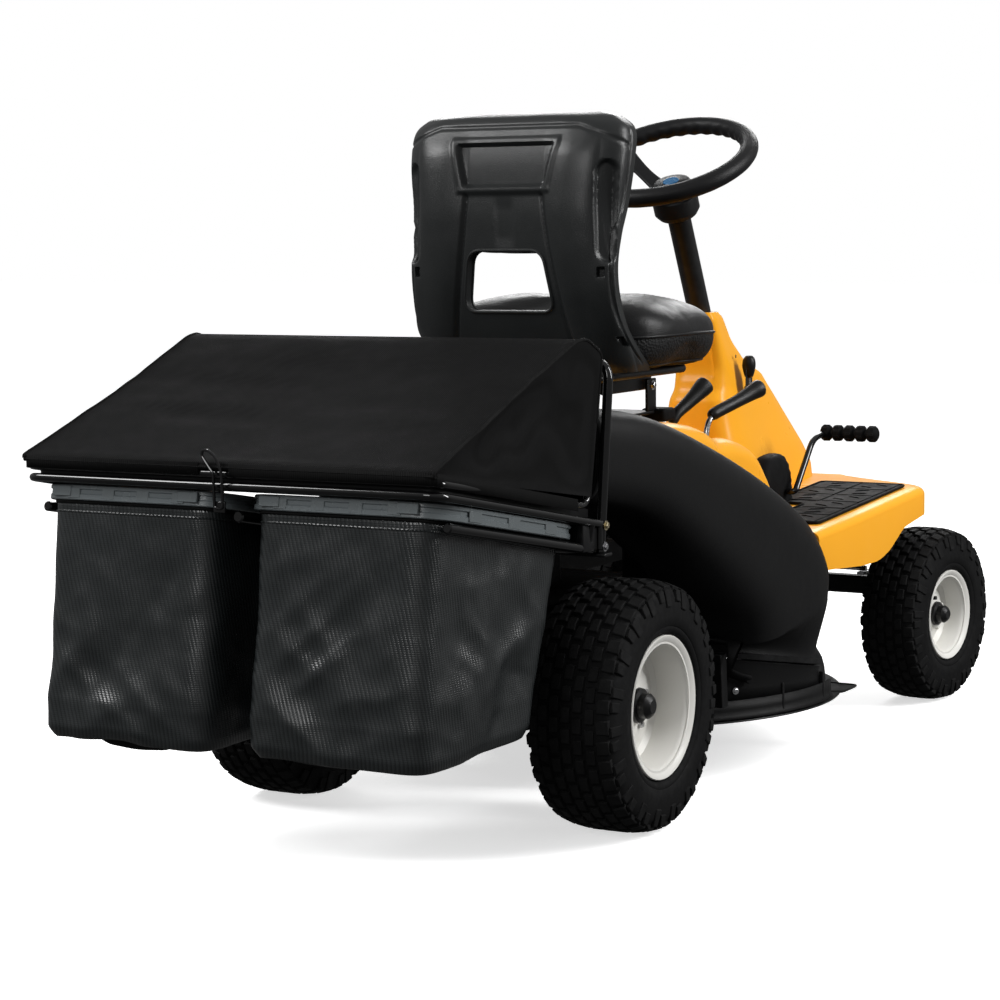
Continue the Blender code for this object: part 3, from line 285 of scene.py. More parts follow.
def make_materials():
    yellow = Surface("yellow_panel", (0.88, 0.385, 0.016), 0.32, spec=0.15)
    yellow.mottle(3.0, 0.006, 0.05).set(Coat_Weight=0.06, Coat_Roughness=0.15)
    M["yellow"] = yellow.grain(260.0, 0.0003, 0.15).mat
    M["seat"] = plastic("seat_plastic", (0.0110, 0.0120, 0.0122), 0.34, 620.0, 0.34).mat
    M["chute"] = plastic("chute_plastic", (0.0050, 0.0050, 0.0052), 0.48, 850.0, 0.10).mat
    M["black"] = plastic("black_plastic", (0.0055, 0.0055, 0.0058), 0.36, 900.0, 0.26).mat
    M["wheel"] = plastic("wheel_plastic", (0.0070, 0.0070, 0.0075), 0.42, 700.0, 0.16).mat
    M["tube"] = paint_gloss("tube_paint", (0.003, 0.003, 0.0032), 0.10, 0.45).mat
    M["frame"] = paint_gloss("frame_paint", (0.0045, 0.0045, 0.0048), 0.34, 0.22).mat
    M["steel"] = metal("bare_steel", (0.42, 0.42, 0.43), 0.26).mat
    M["zinc"] = metal("zinc_bolt", (0.60, 0.52, 0.34), 0.25).mat
    M["cast"] = metal("cast_metal", (0.085, 0.085, 0.088), 0.50, 160.0).mat
    M["muffler"] = metal("muffler_metal", (0.060, 0.052, 0.047), 0.60, 120.0).mat
    rim = Surface("rim_enamel", (0.69, 0.68, 0.645), 0.36, spec=0.25).mottle(9.0, 0.01, 0.06)
    M["rim"] = rim.grain(300.0, 0.0002, 0.15).mat
    tyre = Surface("tyre_rubber", (0.0042, 0.0042, 0.0044), 0.74, spec=0.10)
    tyre.mottle(14.0, 0.03, 0.10).worn((0.016, 0.016, 0.016), amount=0.4)
    M["tyre"] = tyre.grain(420.0, 0.0006, 0.5).mat
    rubber = Surface("mat_rubber", (0.0045, 0.0045, 0.0048), 0.66, spec=0.05)
    rubber.mottle(10.0, 0.03, 0.1).worn((0.02, 0.02, 0.02), amount=0.4)
    M["rubber"] = rubber.grain(500.0, 0.0006, 0.6).mat
    vinyl = Surface("seat_vinyl", (0.0050, 0.0050, 0.0053), 0.38, spec=0.20).mottle(8.0, 0.02, 0.05)
    M["vinyl"] = vinyl.grain(520.0, 0.0007, 0.35, cells=True).mat
    band = Surface("seat_band", (0.0065, 0.0065, 0.0068), 0.62, spec=0.20).mottle(16.0, 0.04, 0.08)
    M["band"] = band.grain(240.0, 0.0016, 0.8, cells=True).mat
    hood = Surface("hood_fabric", (0.0062, 0.0062, 0.0064), 0.66, spec=0.05).mottle(4.0, 0.010, 0.04)
    # The ribs' tint colours are painted shade in the grooves of the weave.
    hood.ribs("X", 0.0036, 0.0006, 0.7, tint=(0.0030, 0.0030, 0.0030))
    M["hood"] = hood.ribs("Y", 0.0032, 0.0006, 0.6, tint=(0.0036, 0.0036, 0.0036)).mat
    bag = Surface("bag_nylon", (0.0130, 0.0152, 0.0158), 0.33, spec=0.45).mottle(5.0, 0.03, 0.10)
    # The ribs' tint colour is painted shade in the grooves of the weave.
    bag.ribs("DIAGONAL", 0.0034, 0.0004, 0.8, wobble=0.2, tint=(0.0050, 0.0060, 0.0062), lean=0.2)
    M["bag"] = bag.ribs("Z", 0.0030, 0.0002, 0.4).mat
    web = Surface("webbing", (0.0060, 0.0060, 0.0060), 0.75, spec=0.05).mottle(20.0, 0.04)
    M["web"] = web.ribs("X", 0.0022, 0.0003, 0.4).mat
    lip = Surface("bag_rim_plastic", (0.105, 0.120, 0.126), 0.24, spec=0.6).mottle(6.0, 0.02, 0.08)
    M["lip"] = lip.worn((0.10, 0.11, 0.11), amount=0.4).grain(500.0, 0.0004, 0.4).mat
    blue = Surface("hub_disc", (0.008, 0.090, 0.21), 0.25).mottle(60.0, 0.03, 0.05)
    M["blue"] = blue.grain(300.0, 0.0002, 0.2).mat
    # Near-black painted shade for the engine cover's vent bars, standing for the dark inside the vent.
    vent_shade = Surface("vent_shade_paint", (0.002, 0.002, 0.002), 0.8, spec=0.05).mottle(9.0, 0.02)
    M["vent_shade"] = vent_shade.grain(200.0, 0.0004, 0.3).mat


# ---------------------------------------------------------------- mesh helpers
def place_mesh(name, bm):
    """Put the mesh into the scene as an object of that name."""
    mesh = bpy.data.meshes.new(name)
    bm.to_mesh(mesh)
    bm.free()
    ob = bpy.data.objects.new(name, mesh)
    bpy.context.scene.collection.objects.link(ob)
    return ob


def sharpen(ob, angle):
    """Keep the edges sharp whose faces meet at more than the angle, in degrees."""
    ob.data.set_sharp_from_angle(angle=math.radians(angle))


def add(name, bm, material, angle=35.0):
    """A smooth-shaded object of one material, sharp above the angle."""
    bmesh.ops.recalc_face_normals(bm, faces=bm.faces)
    ob = place_mesh(name, bm)
    ob.data.shade_smooth()
    sharpen(ob, angle)
    ob.data.materials.append(M[material])
    return ob


def bevel(ob, width, segments=2):
    mod = ob.modifiers.new("bevel", "BEVEL")
    mod.width = width
    mod.segments = segments
    mod.limit_method = "ANGLE"
    mod.angle_limit = math.radians(40.0)
    return ob


def thicken(ob, thickness, offset=-1.0):
    """Give a sheet its thickness, on its inner side unless offset is 1."""
    mod = ob.modifiers.new("thickness", "SOLIDIFY")
    mod.thickness = thickness
    mod.offset = offset
    mod.use_even_offset = True
    return ob


def bake(ob):
    """Replace the mesh with what its modifiers make of it."""
    graph = bpy.context.evaluated_depsgraph_get()
    mesh = bpy.data.meshes.new_from_object(ob.evaluated_get(graph))
    ob.modifiers.clear()
    ob.data = mesh
    return ob


def cut(ob, tool):
    """Take the tool's shape out of the object, then drop the tool."""
    mod = ob.modifiers.new("cut", "BOOLEAN")
    mod.operation = "DIFFERENCE"
    mod.solver = "EXACT"
    mod.object = tool
    bpy.context.view_layer.update()
    bake(ob)
    bpy.data.objects.remove(tool, do_unlink=True)
    return ob


def loft(name, rings, material, cyclic=True, caps=(False, False), closed=False, angle=35.0):
    """Skin the rings; cyclic closes each ring, and closed joins the last ring to the first."""
    bm = bmesh.new()
    rows = [[bm.verts.new(p) for p in ring] for ring in rings]
    pairs = list(zip(rows, rows[1:]))
    if closed:
        pairs.append((rows[-1], rows[0]))
    for low, high in pairs:
        count = len(low)
        for i in range(count if cyclic else count - 1):
            j = (i + 1) % count
            bm.faces.new((low[i], low[j], high[j], high[i]))
    if caps[0]:
        bm.faces.new(rows[0])
    if caps[1]:
        bm.faces.new(rows[-1])
    return add(name, bm, material, angle)


def smooth_rows(rows, per):
    """Catmull-Rom points through the rows, per steps between neighbours."""
    rows = [np.array(row, float) for row in rows]
    ends = [2 * rows[0] - rows[1]] + rows + [2 * rows[-1] - rows[-2]]
    made = []
    for i in range(1, len(ends) - 2):
        a, b, c, d = ends[i - 1:i + 3]
        for k in range(per):
            t = k / per
            made.append(0.5 * (2 * b + (c - a) * t + (2 * a - 5 * b + 4 * c - d) * t ** 2
                               + (3 * b - a - 3 * c + d) * t ** 3))
    made.append(rows[-1])
    return made


def turns(count, start=0.0):
    """The angles of even steps round a circle."""
    return [2 * math.pi * k / count + start for k in range(count)]


def squircle(count, power):
    """A square outline from -1 to 1 with corners that get rounder as power nears 1."""
    points = []
    for i in range(count):
        angle = 2 * math.pi * (i + 0.5) / count
        c, s = math.cos(angle), math.sin(angle)
        points.append((math.copysign(abs(c) ** power, c), math.copysign(abs(s) ** power, s)))
    return points


def even(points, count):
    """The closed outline with its points spread evenly along it."""
    points = np.array([tuple(p) for p in points], float)
    ring = np.vstack([points, points[:1]])
    steps = np.linalg.norm(np.diff(ring, axis=0), axis=1)
    along = np.concatenate([[0.0], np.cumsum(steps)])
    wanted = np.linspace(0.0, along[-1], count, endpoint=False)
    return [tuple(np.interp(w, along, ring[:, k]) for k in range(ring.shape[1]))
            for w in wanted]


def rounded(points, radius, steps=6, cyclic=False):
    """The path with each corner replaced by a short curve."""
    points = [Vector(p) for p in points]
    count = len(points)
    path = []
    for i, p in enumerate(points):
        if not cyclic and i in (0, count - 1):
            path.append(p)
            continue
        before, after = points[i - 1] - p, points[(i + 1) % count] - p
        reach = min(radius, before.length * 0.45, after.length * 0.45)
        a = p + before.normalized() * reach
        b = p + after.normalized() * reach
        for k in range(steps + 1):
            t = k / steps
            path.append(a * (1 - t) ** 2 + p * 2 * t * (1 - t) + b * t ** 2)
    return path


def sweep(name, path, radius, material, sides=14, cyclic=False, flatten=(1.0, 1.0)):
    """A round bar along a path; radius may be one value or one for each point."""
    path = [Vector(p) for p in path]
    count = len(path)
    radii = radius if isinstance(radius, (list, tuple)) else [radius] * count
    tangents = []
    for i in range(count):
        before = path[i - 1] if (i or cyclic) else path[0]
        after = path[(i + 1) % count] if (i < count - 1 or cyclic) else path[-1]
        tangents.append((after - before).normalized())
    side = tangents[0].orthogonal().normalized()
    rings = []
    for p, along, r in zip(path, tangents, radii):
        side = (side - along * side.dot(along)).normalized()
        other = along.cross(side)
        rings.append([p + side * (r * flatten[0] * math.cos(2 * math.pi * k / sides))
                      + other * (r * flatten[1] * math.sin(2 * math.pi * k / sides))
                      for k in range(sides)])
    if cyclic:
        return loft(name, rings, material, closed=True)
    if not isinstance(radius, (list, tuple)):
        first, last = path[0], path[-1]
        lip = radius * 0.25
        rings.insert(0, [first + (q - first) * 0.75 - tangents[0] * lip for q in rings[0]])
        rings.append([last + (q - last) * 0.75 + tangents[-1] * lip for q in rings[-1]])
    return loft(name, rings, material, caps=(True, True))


def lathe(name, profile, material, sides=64, closed=False, matrix=None, angle=30.0):
    """Turn (radius, height) points about local Z, then place the result."""
    bm = bmesh.new()
    rows = [[bm.verts.new((r * math.cos(a), r * math.sin(a), z)) for r, z in profile]
            for a in turns(sides)]
    count = len(profile)
    for i in range(sides):
        low, high = rows[i], rows[(i + 1) % sides]
        for j in range(count if closed else count - 1):
            k = (j + 1) % count
            bm.faces.new((low[j], low[k], high[k], high[j]))
    bmesh.ops.remove_doubles(bm, verts=bm.verts, dist=1e-6)
    bmesh.ops.dissolve_degenerate(bm, edges=bm.edges, dist=1e-7)
    if matrix is not None:
        bmesh.ops.transform(bm, matrix=matrix, verts=bm.verts)
    return add(name, bm, material, angle)


def block(bm, size, matrix, taper=1.0):
    """Add a box of the given size to a mesh, its top narrowed by taper."""
    made = bmesh.ops.create_cube(bm, size=1.0)["verts"]
    for v in made:
        if v.co.z > 0:
            v.co.x *= taper
            v.co.y *= taper
    bmesh.ops.scale(bm, vec=Vector(size), verts=made)
    bmesh.ops.transform(bm, matrix=matrix, verts=made)
    return made


def cut_box(ob, size, place):
    """Cut a box-shaped opening."""
    bm = bmesh.new()
    block(bm, size, Matrix.Translation(place))
    cut(ob, place_mesh("opening", bm))


def close_front(ob, count):
    """Cap a loft's last ring, which has count points."""
    bm = bmesh.new()
    bm.from_mesh(ob.data)
    bm.verts.ensure_lookup_table()
    bm.faces.new(bm.verts[-count:])
    bm.to_mesh(ob.data)
    bm.free()


def dense_rows(rows, step):
    """The rows with straight steps between neighbours, each about step long in the first value."""
    made = []
    for a, b in zip(rows, rows[1:]):
        steps = max(2, int(abs(b[0] - a[0]) / step))
        made += [[p + (q - p) * (k / steps) for p, q in zip(a, b)] for k in range(steps)]
    return made + [list(rows[-1])]


def softened(rows):
    """The rows with every value after the first averaged with its neighbours'."""
    made = []
    for i, row in enumerate(rows):
        near = rows[max(0, i - 1):i + 2]
        made.append([row[0]] + [sum(r[k] for r in near) / len(near) for k in range(1, len(row))])
    return made


def mirrored(side, y):
    """An outline across the machine from the (x, z) points of one half, foot to middle."""
    return [at(-x, y, z) for x, z in side] + [at(x, y, z) for x, z in reversed(side[:-1])]


def across(side, near, far):
    """The x limits of a block on one side of the machine."""
    return tuple(sorted((side * near, side * far)))


def facing(place, direction):
    """A matrix whose local Z points along the direction."""
    turn = Vector(direction).to_track_quat("Z", "Y").to_matrix().to_4x4()
    return Matrix.Translation(place) @ turn


# ---------------------------------------------------------------- pieces
# The colour slot that each material belongs to.
SLOT_OF = {"yellow": "yellow_panel", "seat": "black_plastic", "chute": "black_plastic",
           "black": "black_plastic", "wheel": "black_plastic", "tube": "black_paint",
           "frame": "black_paint", "steel": "steel", "zinc": "steel", "cast": "cast",
           "muffler": "cast", "rim": "rim_paint", "tyre": "tyre", "rubber": "rubber",
           "vinyl": "vinyl", "band": "vinyl", "hood": "bag_fabric", "bag": "bag_fabric",
           "web": "bag_fabric", "lip": "rim_plastic", "blue": "black_plastic",
           "vent_shade": "black_plastic"}


def finish_piece(ob, body, slot=None, nodes=()):
    """Let the piece ride on its body and stand for CAD nodes."""
    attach(ob, body)
    if nodes:
        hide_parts(*nodes)
    if slot is None:
        material = next(k for k, v in M.items() if v == ob.data.materials[0])
        slot = SLOT_OF[material]
    return ob


def slab(name, x, y, z, radius, material, body, nodes=(), segments=3):
    """A block with rounded edges between the limits given on each axis."""
    bm = bmesh.new()
    size = [b - a for a, b in (x, y, z)]
    block(bm, size, Matrix.Translation(at(sum(x) / 2, sum(y) / 2, sum(z) / 2)))
    bmesh.ops.bevel(bm, geom=bm.edges[:], offset=radius, segments=segments, affect="EDGES",
                    profile=0.5)
    return finish_piece(add(name, bm, material, 40.0), body, nodes=nodes)


def bolt(name, place, direction, radius, body, material="zinc"):
    """A hexagon head with a washer under it."""
    height = radius * 0.7
    matrix = facing(place, direction)
    washer = [(0.0, 0.0), (radius * 1.45, 0.0), (radius * 1.45, radius * 0.2),
              (0.0, radius * 0.2)]
    disc = lathe(name + "_washer", list(reversed(washer)), material, 28, matrix=matrix)
    head = [(0.0, radius * 0.2 + height), (radius * 0.75, radius * 0.2 + height),
            (radius, radius * 0.2 + height * 0.8), (radius, radius * 0.2),
            (0.0, radius * 0.2)]
    cap = lathe(name, head, material, 6, matrix=matrix, angle=20.0)
    for piece in (disc, cap):
        finish_piece(piece, body, SLOT_OF[material])


# ---------------------------------------------------------------- wheels
def wheel_matrix(node, side, joint):
    """Local Z points outboard along the wheel's own axle."""
    axis = Vector(JOINTS[joint]["axis"]) * side
    return facing(middle(node), axis)


def tyre_shape(radius, half, bead, flange):
    """Carcass section from one bead to the other, as (radius, along the axle)."""
    seat = half - 0.0112
    side = [(bead, seat), (flange + 0.0015, seat), (flange + 0.004, half - 0.006),
            (flange + 0.010, half - 0.002), (flange + 0.014, half - 0.003),
            (flange + 0.016, half - 0.001), (flange + (radius - flange) * 0.35, half),
            (flange + (radius - flange) * 0.55, half * 0.985),
            (flange + (radius - flange) * 0.70, half * 0.95), (radius - 0.012, half * 0.87),
            (radius - 0.0070, half * 0.70), (radius - 0.0056, half * 0.35), (radius - 0.0052, 0)]
    return side + [(r, -x) for r, x in reversed(side[:-1])]


def make_tyre(name, node, side, joint, flange, bead, half, rows, around):
    """Carcass with staggered tread blocks and shoulder lugs."""
    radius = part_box(node)[1].z / 2
    matrix = wheel_matrix(node, side, joint)
    profile = tyre_shape(radius, half, bead, flange)
    carcass = lathe(name, profile, "tyre", 112, closed=True, matrix=matrix, angle=50.0)
    bm = bmesh.new()
    reach = half * 0.90
    pitch = 2 * reach / rows
    arc = 2 * math.pi * radius / around
    for row in range(rows):
        x = -reach + pitch * (row + 0.5)
        edge = abs(x) / reach
        drop = 0.0075 * max(0.0, edge - 0.35) ** 1.6 * 2.2
        lean = math.copysign(max(0.0, edge - 0.3) * 0.55, x)
        shoulder = row in (0, rows - 1)
        for k in range(around):
            a = 2 * math.pi * (k + (0.5 if row % 2 else 0.0)) / around
            size = (arc * (0.74 if shoulder else 0.80), pitch * (1.14 if shoulder else 0.84),
                    0.0085)
            lift = radius - 0.0048 - drop
            place = (Matrix.Rotation(a, 4, "Z") @ Matrix.Translation((lift, 0.0, x))
                     @ Matrix.Rotation(-lean, 4, "Y") @ Matrix.Rotation(math.pi / 2, 4, "Y")
                     @ Matrix.Rotation(math.pi / 2, 4, "Z"))
            block(bm, size, matrix @ place, 0.84)
    for sign in (-1, 1):
        for k in range(around):
            a = 2 * math.pi * (k + (0.25 if k % 2 else 0.0)) / around
            long = 0.030 if k % 2 else 0.020
            place = (Matrix.Rotation(a, 4, "Z")
                     @ Matrix.Translation((radius - 0.013 - long / 2, 0.0, sign * half * 0.955))
                     @ Matrix.Rotation(sign * 0.20, 4, "Y"))
            block(bm, (long, arc * 0.50, 0.0050), matrix @ place, 0.9)
    lugs = bevel(add(name + "_tread", bm, "tyre", 30.0), 0.0009, 1)
    return carcass, lugs


def make_rim(name, node, side, joint, flange, bead, half):
    """Pressed disc wheel: rolled flanges, drop-centre barrel, dished disc and hub."""
    matrix = wheel_matrix(node.replace("rim", "tyre"), side, joint)
    lip, seat = half - 0.0055, half - 0.0112
    drop = bead * 0.9937 - 0.0004
    thin = drop - 0.0035
    outer = [(flange, seat + 0.0010), (flange, lip - 0.0014), (flange - 0.0012, lip),
             (flange - 0.0050, lip - 0.0008), (thin + 0.0028, lip - 0.0080),
             (thin, lip - 0.0140)]
    disc = [(thin - 0.0020, 0.0120), (thin - 0.0100, 0.0050), (thin * 0.80, 0.0060),
            (thin * 0.70, 0.0115), (thin * 0.50, 0.0150), (0.036, 0.0150), (0.031, 0.0200),
            (0.0290, 0.0250), (0.0, 0.0250)]
    back = [(0.0, 0.0010), (thin * 0.7, 0.0010), (thin - 0.012, -0.0020), (thin, -0.0040)]
    inner = [(thin, -lip + 0.0140), (thin + 0.0028, -lip + 0.0080),
             (flange - 0.0050, -lip + 0.0008), (flange - 0.0012, -lip), (flange, -lip + 0.0014),
             (flange, -seat - 0.0010), (drop, -seat - 0.0006), (drop - 0.0012, 0.0),
             (drop, seat + 0.0006)]
    rim = lathe(name, outer + disc + back + inner, "rim", 96, closed=True, matrix=matrix)
    return rim, matrix


def make_hub(name, matrix, body, big):
    """Black axle cap, five wheel nuts and the valve stem."""
    r = 0.020 if big else 0.017
    cap = lathe(name, [(0.0, 0.052), (r * 0.55, 0.052), (r * 0.80, 0.049), (r, 0.044),
                       (r, 0.033), (r * 1.35, 0.031), (r * 1.40, 0.0255), (0.0, 0.0255)],
                "black", 40, matrix=matrix)
    finish_piece(cap, body)
    for k, a in enumerate(turns(5, 0.3)):
        spot = matrix @ Matrix.Rotation(a, 4, "Z") @ Matrix.Translation((r * 2.15, 0, 0.0150))
        stud = lathe(f"{name}_nut_{k}", [(0.0, 0.0070), (0.0045, 0.0070), (0.0060, 0.0050),
                                         (0.0060, 0.0), (0.0, 0.0)], "steel" if big else "rim",
                     6, matrix=spot, angle=20.0)
        finish_piece(stud, body)
    spot = matrix @ Matrix.Rotation(2.4, 4, "Z") @ Matrix.Translation(
        (0.075 if big else 0.055, 0, 0.010))
    stem = lathe(name + "_valve", [(0.0, 0.036), (0.0035, 0.036), (0.0040, 0.026), (0.0032, 0.025),
                                   (0.0032, 0.012), (0.0055, 0.004), (0.0060, 0.0), (0.0, 0.0)],
                 "black", 16, matrix=spot)
    finish_piece(stem, body)


WHEELS = (("rear", 0.1133, 0.1003, 0.0765, 7, 38), ("front", 0.0881, 0.0760, 0.0615, 6, 36))
REAR_SHAFT = [(0.0, 0.0008), (0.030, 0.0008), (0.032, -0.020), (0.016, -0.024),
              (0.016, -0.198), (0.0, -0.198)]
FRONT_BEARING = [(0.0, 0.0008), (0.024, 0.0008), (0.024, -0.022), (0.020, -0.0240),
                 (0.0, -0.0240)]


def make_wheels():
    """Rows of WHEELS: end, rim flange and bead radius, half width, tread rows, blocks around."""
    for end, flange, bead, half, rows, around in WHEELS:
        for side, tag in SIDES:
            node, body = f"{end}_tyre_{tag}", f"{end}_wheel_{tag}"
            joint = f"{end}_wheel_{tag}_spin"
            carcass, lugs = make_tyre(f"{end}_{tag}_tyre", node, side, joint, flange, bead,
                                      half, rows, around)
            finish_piece(carcass, body, nodes=(node,))
            finish_piece(lugs, body)
            rim, matrix = make_rim(f"{end}_{tag}_rim", f"{end}_rim_{tag}", side, joint, flange,
                                   bead, half)
            finish_piece(rim, body, nodes=(f"{end}_rim_{tag}",))
            make_hub(f"{end}_{tag}_hub", matrix, body, end == "rear")
            word, profile = {"rear": ("shaft", REAR_SHAFT),
                             "front": ("bearing", FRONT_BEARING)}[end]
            shaft = lathe(f"{end}_{tag}_{word}", profile, "cast", 32, matrix=matrix)
            finish_piece(shaft, body)


# ---------------------------------------------------------------- collector
BAG_SLOPE = math.atan(0.186)
HOOD_REAR_Y, HOOD_REAR_Z = -0.632, 0.607
HOOD_HALF = 0.352


def on_slope(y, drop=0.0):
    """The height of the hood's sloping foot at y, less the drop."""
    return HOOD_REAR_Z - math.tan(BAG_SLOPE) * (y - HOOD_REAR_Y) - drop


def wrinkle(p, scale, amount, seed=0.0):
    """Smooth noise up to about the amount, finer as scale grows."""
    return amount * noise.noise(Vector(p) * scale + Vector((seed, seed * 0.7, -seed)))


def hood_outline():
    """The hood's side view from the rear hem over the top to the front hem."""
    return [(-0.6370, on_slope(-0.637) + 0.0072), (-0.6395, 0.6225), (-0.2300, 0.7780),
            (-0.2050, 0.7810), (-0.1900, 0.7770), (-0.1500, 0.7570),
            (-0.1886, on_slope(-0.1886) + 0.0215)]


def hood_line():
    """Points about 10 mm apart along the hood's side view."""
    path = rounded([(0, y, z) for y, z in hood_outline()], 0.012, 4)
    line = []
    for a, b in zip(path, path[1:]):
        steps = max(1, int((b - a).length / 0.010))
        line += [a.lerp(b, k / steps) for k in range(steps)]
    return line + [path[-1]]


def hood_panels(bm, line, cells=84):
    """The sagging top and the front panel, as a grid of cells across the hood."""
    rows = []
    for p in line:
        row = []
        for k in range(cells + 1):
            u = -1 + 2 * k / cells
            on_top = p.z > 0.63 and p.y < -0.21
            slack = math.sin(math.pi * min(1.0, max(0.0, (p.y + 0.64) / 0.43))) if on_top else 0.0
            sag = 0.010 * slack * (1 - u * u) + 0.0035 * slack * (0.5 + 0.5 * math.cos(5 * u))
            if p.y > -0.205:
                sag = 0.0
            x = u * (HOOD_HALF - 0.0012 - 0.004 * slack)
            bumpy = wrinkle((x, p.y, p.z), 7.0, 0.0035, 3.0) * slack
            fold = wrinkle((x * 0.35, p.y * 2.2, 0.0), 9.0, 0.0030, 8.0) * slack
            z = p.z - sag + bumpy + fold
            y = p.y
            if p.y > -0.20:
                y += 0.0025 * math.sin(math.pi * min(1.0, (0.77 - p.z) / 0.2)) * (1 - u * u)
            row.append(bm.verts.new(at(x, y, z)))
        rows.append(row)
    for low, high in zip(rows, rows[1:]):
        for k in range(cells):
            bm.faces.new((low[k], low[k + 1], high[k + 1], high[k]))
    return rows


def hood_gussets(bm, line, rows, depth=26):
    """The side panels between the top's edges and the hem; returns those edges by side."""
    edges = {}
    for side, _ in SIDES:
        edge = [row[0 if side < 0 else -1] for row in rows]
        edges[side] = [v.co.copy() for v in edge]
        columns = []
        for i, v in enumerate(edge):
            hem = line[0].lerp(line[-1], i / (len(line) - 1))
            hem = Vector((side * (HOOD_HALF - 0.0012), hem.y + AXLE_Y, hem.z))
            column = [v]
            for j in range(1, depth + 1):
                s = j / depth
                q = v.co.lerp(hem, s)
                full = math.sin(math.pi * s) * min(1.0, (v.co - hem).length / 0.12)
                q.x -= side * 0.0050 * full
                q.x += side * wrinkle((q.y, q.z, side), 13.0, 0.0030, 5.0) * full
                column.append(bm.verts.new(q))
            columns.append(column)
        for a, b in zip(columns, columns[1:]):
            for j in range(depth):
                bm.faces.new((a[j], b[j], b[j + 1], a[j + 1]))
    return edges


def make_hood():
    """One sewn sheet: rear hem, top and front panel, with a gusset at each side."""
    line = hood_line()
    bm = bmesh.new()
    rows = hood_panels(bm, line)
    edges = hood_gussets(bm, line, rows)
    bmesh.ops.remove_doubles(bm, verts=bm.verts, dist=0.0004)
    bmesh.ops.dissolve_degenerate(bm, edges=bm.edges, dist=0.0003)
    hood = thicken(add("hood", bm, "hood", 60.0), 0.0028)
    cut_box(hood, (0.164, 0.120, 0.190), at(0.262, -0.178, 0.597))
    hood.data.shade_smooth()
    sharpen(hood, 60)
    return hood, edges


def make_piping(edges):
    """Corded gusset seams, a rear hem and an upright band round it, open at the latch."""
    made = []
    for side, tag in SIDES:
        top = [p - Vector((side * 0.0012, 0, 0.0006)) for p in edges[side] if p.z > 0.6115]
        made.append(sweep(f"hood_piping_{tag}", top[1:-4], 0.0028, "web", 8))
    hem = [at(x, -0.637, on_slope(-0.637) + 0.0085)
           for x in (-HOOD_HALF + 0.002, HOOD_HALF - 0.002)]
    made.append(sweep("hood_hem_rear", [hem[0].lerp(hem[1], k / 40) for k in range(41)], 0.0034,
                      "hood", 8))
    half, rear, front = HOOD_HALF + 0.0010, -0.6400, -0.235
    for (side, tag), end in zip(SIDES, (-0.036, 0.016)):
        path = rounded([at(x, y, on_slope(y)) for x, y in
                        ((side * half, front), (side * half, rear), (end, rear))], 0.018, 5)
        band = [[p + Vector((0, 0, rise)) for p in path] for rise in (0.0140, 0.0050, -0.0040)]
        band = loft(f"hood_hem_band_{tag}", band, "hood", cyclic=False, angle=40.0)
        made.append(bake(thicken(band, 0.0016)))
    return made


TUBE_DROP, RAIL_DROP = 0.017, 0.0575


def make_support():
    """The support tube under the hood's foot, with the flange and rails that carry the bags."""
    half, front, rear = 0.352, -0.1640, HOOD_REAR_Y
    points = [at(x, y, on_slope(y, TUBE_DROP)) for x, y in
              ((-half, front), (-half, rear), (half, rear), (half, front))]
    support = sweep("bag_support_tube", rounded(points, 0.030, 7), 0.0060, "tube", 18)
    finish_piece(support, "chassis", nodes=("bag_support",))
    rear, front = HOOD_REAR_Y + 0.010, -0.185
    outline = rounded([at(x, y, on_slope(y)) for x, y in
                       ((-0.343, front), (-0.343, rear), (0.343, rear), (0.343, front))], 0.022, 5)
    flange = [[p - Vector((0, 0, low)) for p in outline] for low in (-0.003, 0.010, 0.0238)]
    skirt = loft("bag_support_flange", flange, "frame", cyclic=False, angle=40.0)
    finish_piece(bake(thicken(skirt, 0.0022)), "chassis")
    cross_y = -0.182
    for tag, x, r in (("left", -0.3435, 0.0075), ("right", 0.3435, 0.0075),
                      ("middle", 0.0, 0.0090)):
        ends = [at(x, y, on_slope(y, RAIL_DROP)) for y in (cross_y, -0.595)]
        rail = sweep(f"bag_rail_{tag}", [ends[0].lerp(ends[1], k / 6) for k in range(7)], r,
                     "tube", 18)
        finish_piece(rail, "chassis")
    cross = sweep("bag_rail_cross", [at(x, cross_y, on_slope(cross_y, RAIL_DROP))
                                     for x in (-0.345, -0.1, 0.1, 0.345)], 0.0075, "tube", 18)
    finish_piece(cross, "chassis")


def make_support_corners():
    """Hangers, plates, webs and feet at the front ends of the support tube."""
    for side, tag in SIDES:
        hanger = sweep(f"bag_hanger_{tag}",
                       [at(side * 0.352, -0.190, on_slope(-0.190, TUBE_DROP)),
                        at(side * 0.3435, -0.190, on_slope(-0.190, RAIL_DROP))],
                       0.0055, "tube", 14)
        finish_piece(hanger, "chassis")
        low, high = on_slope(-0.170, 0.056), on_slope(-0.170, 0.012)
        slab(f"bag_support_plate_{tag}", across(side, 0.339, 0.351), (-0.216, -0.163),
             (low, high), 0.002, "frame", "chassis")
        slab(f"bag_support_web_{tag}", across(side, 0.290, 0.350), (-0.211, -0.205),
             (low, high), 0.002, "frame", "chassis")
        foot = sweep(f"bag_support_foot_{tag}",
                     [at(side * 0.352, -0.1660, on_slope(-0.166, TUBE_DROP)),
                      at(side * 0.352, -0.1660, 0.466)], 0.0050, "tube", 14)
        finish_piece(foot, "chassis")


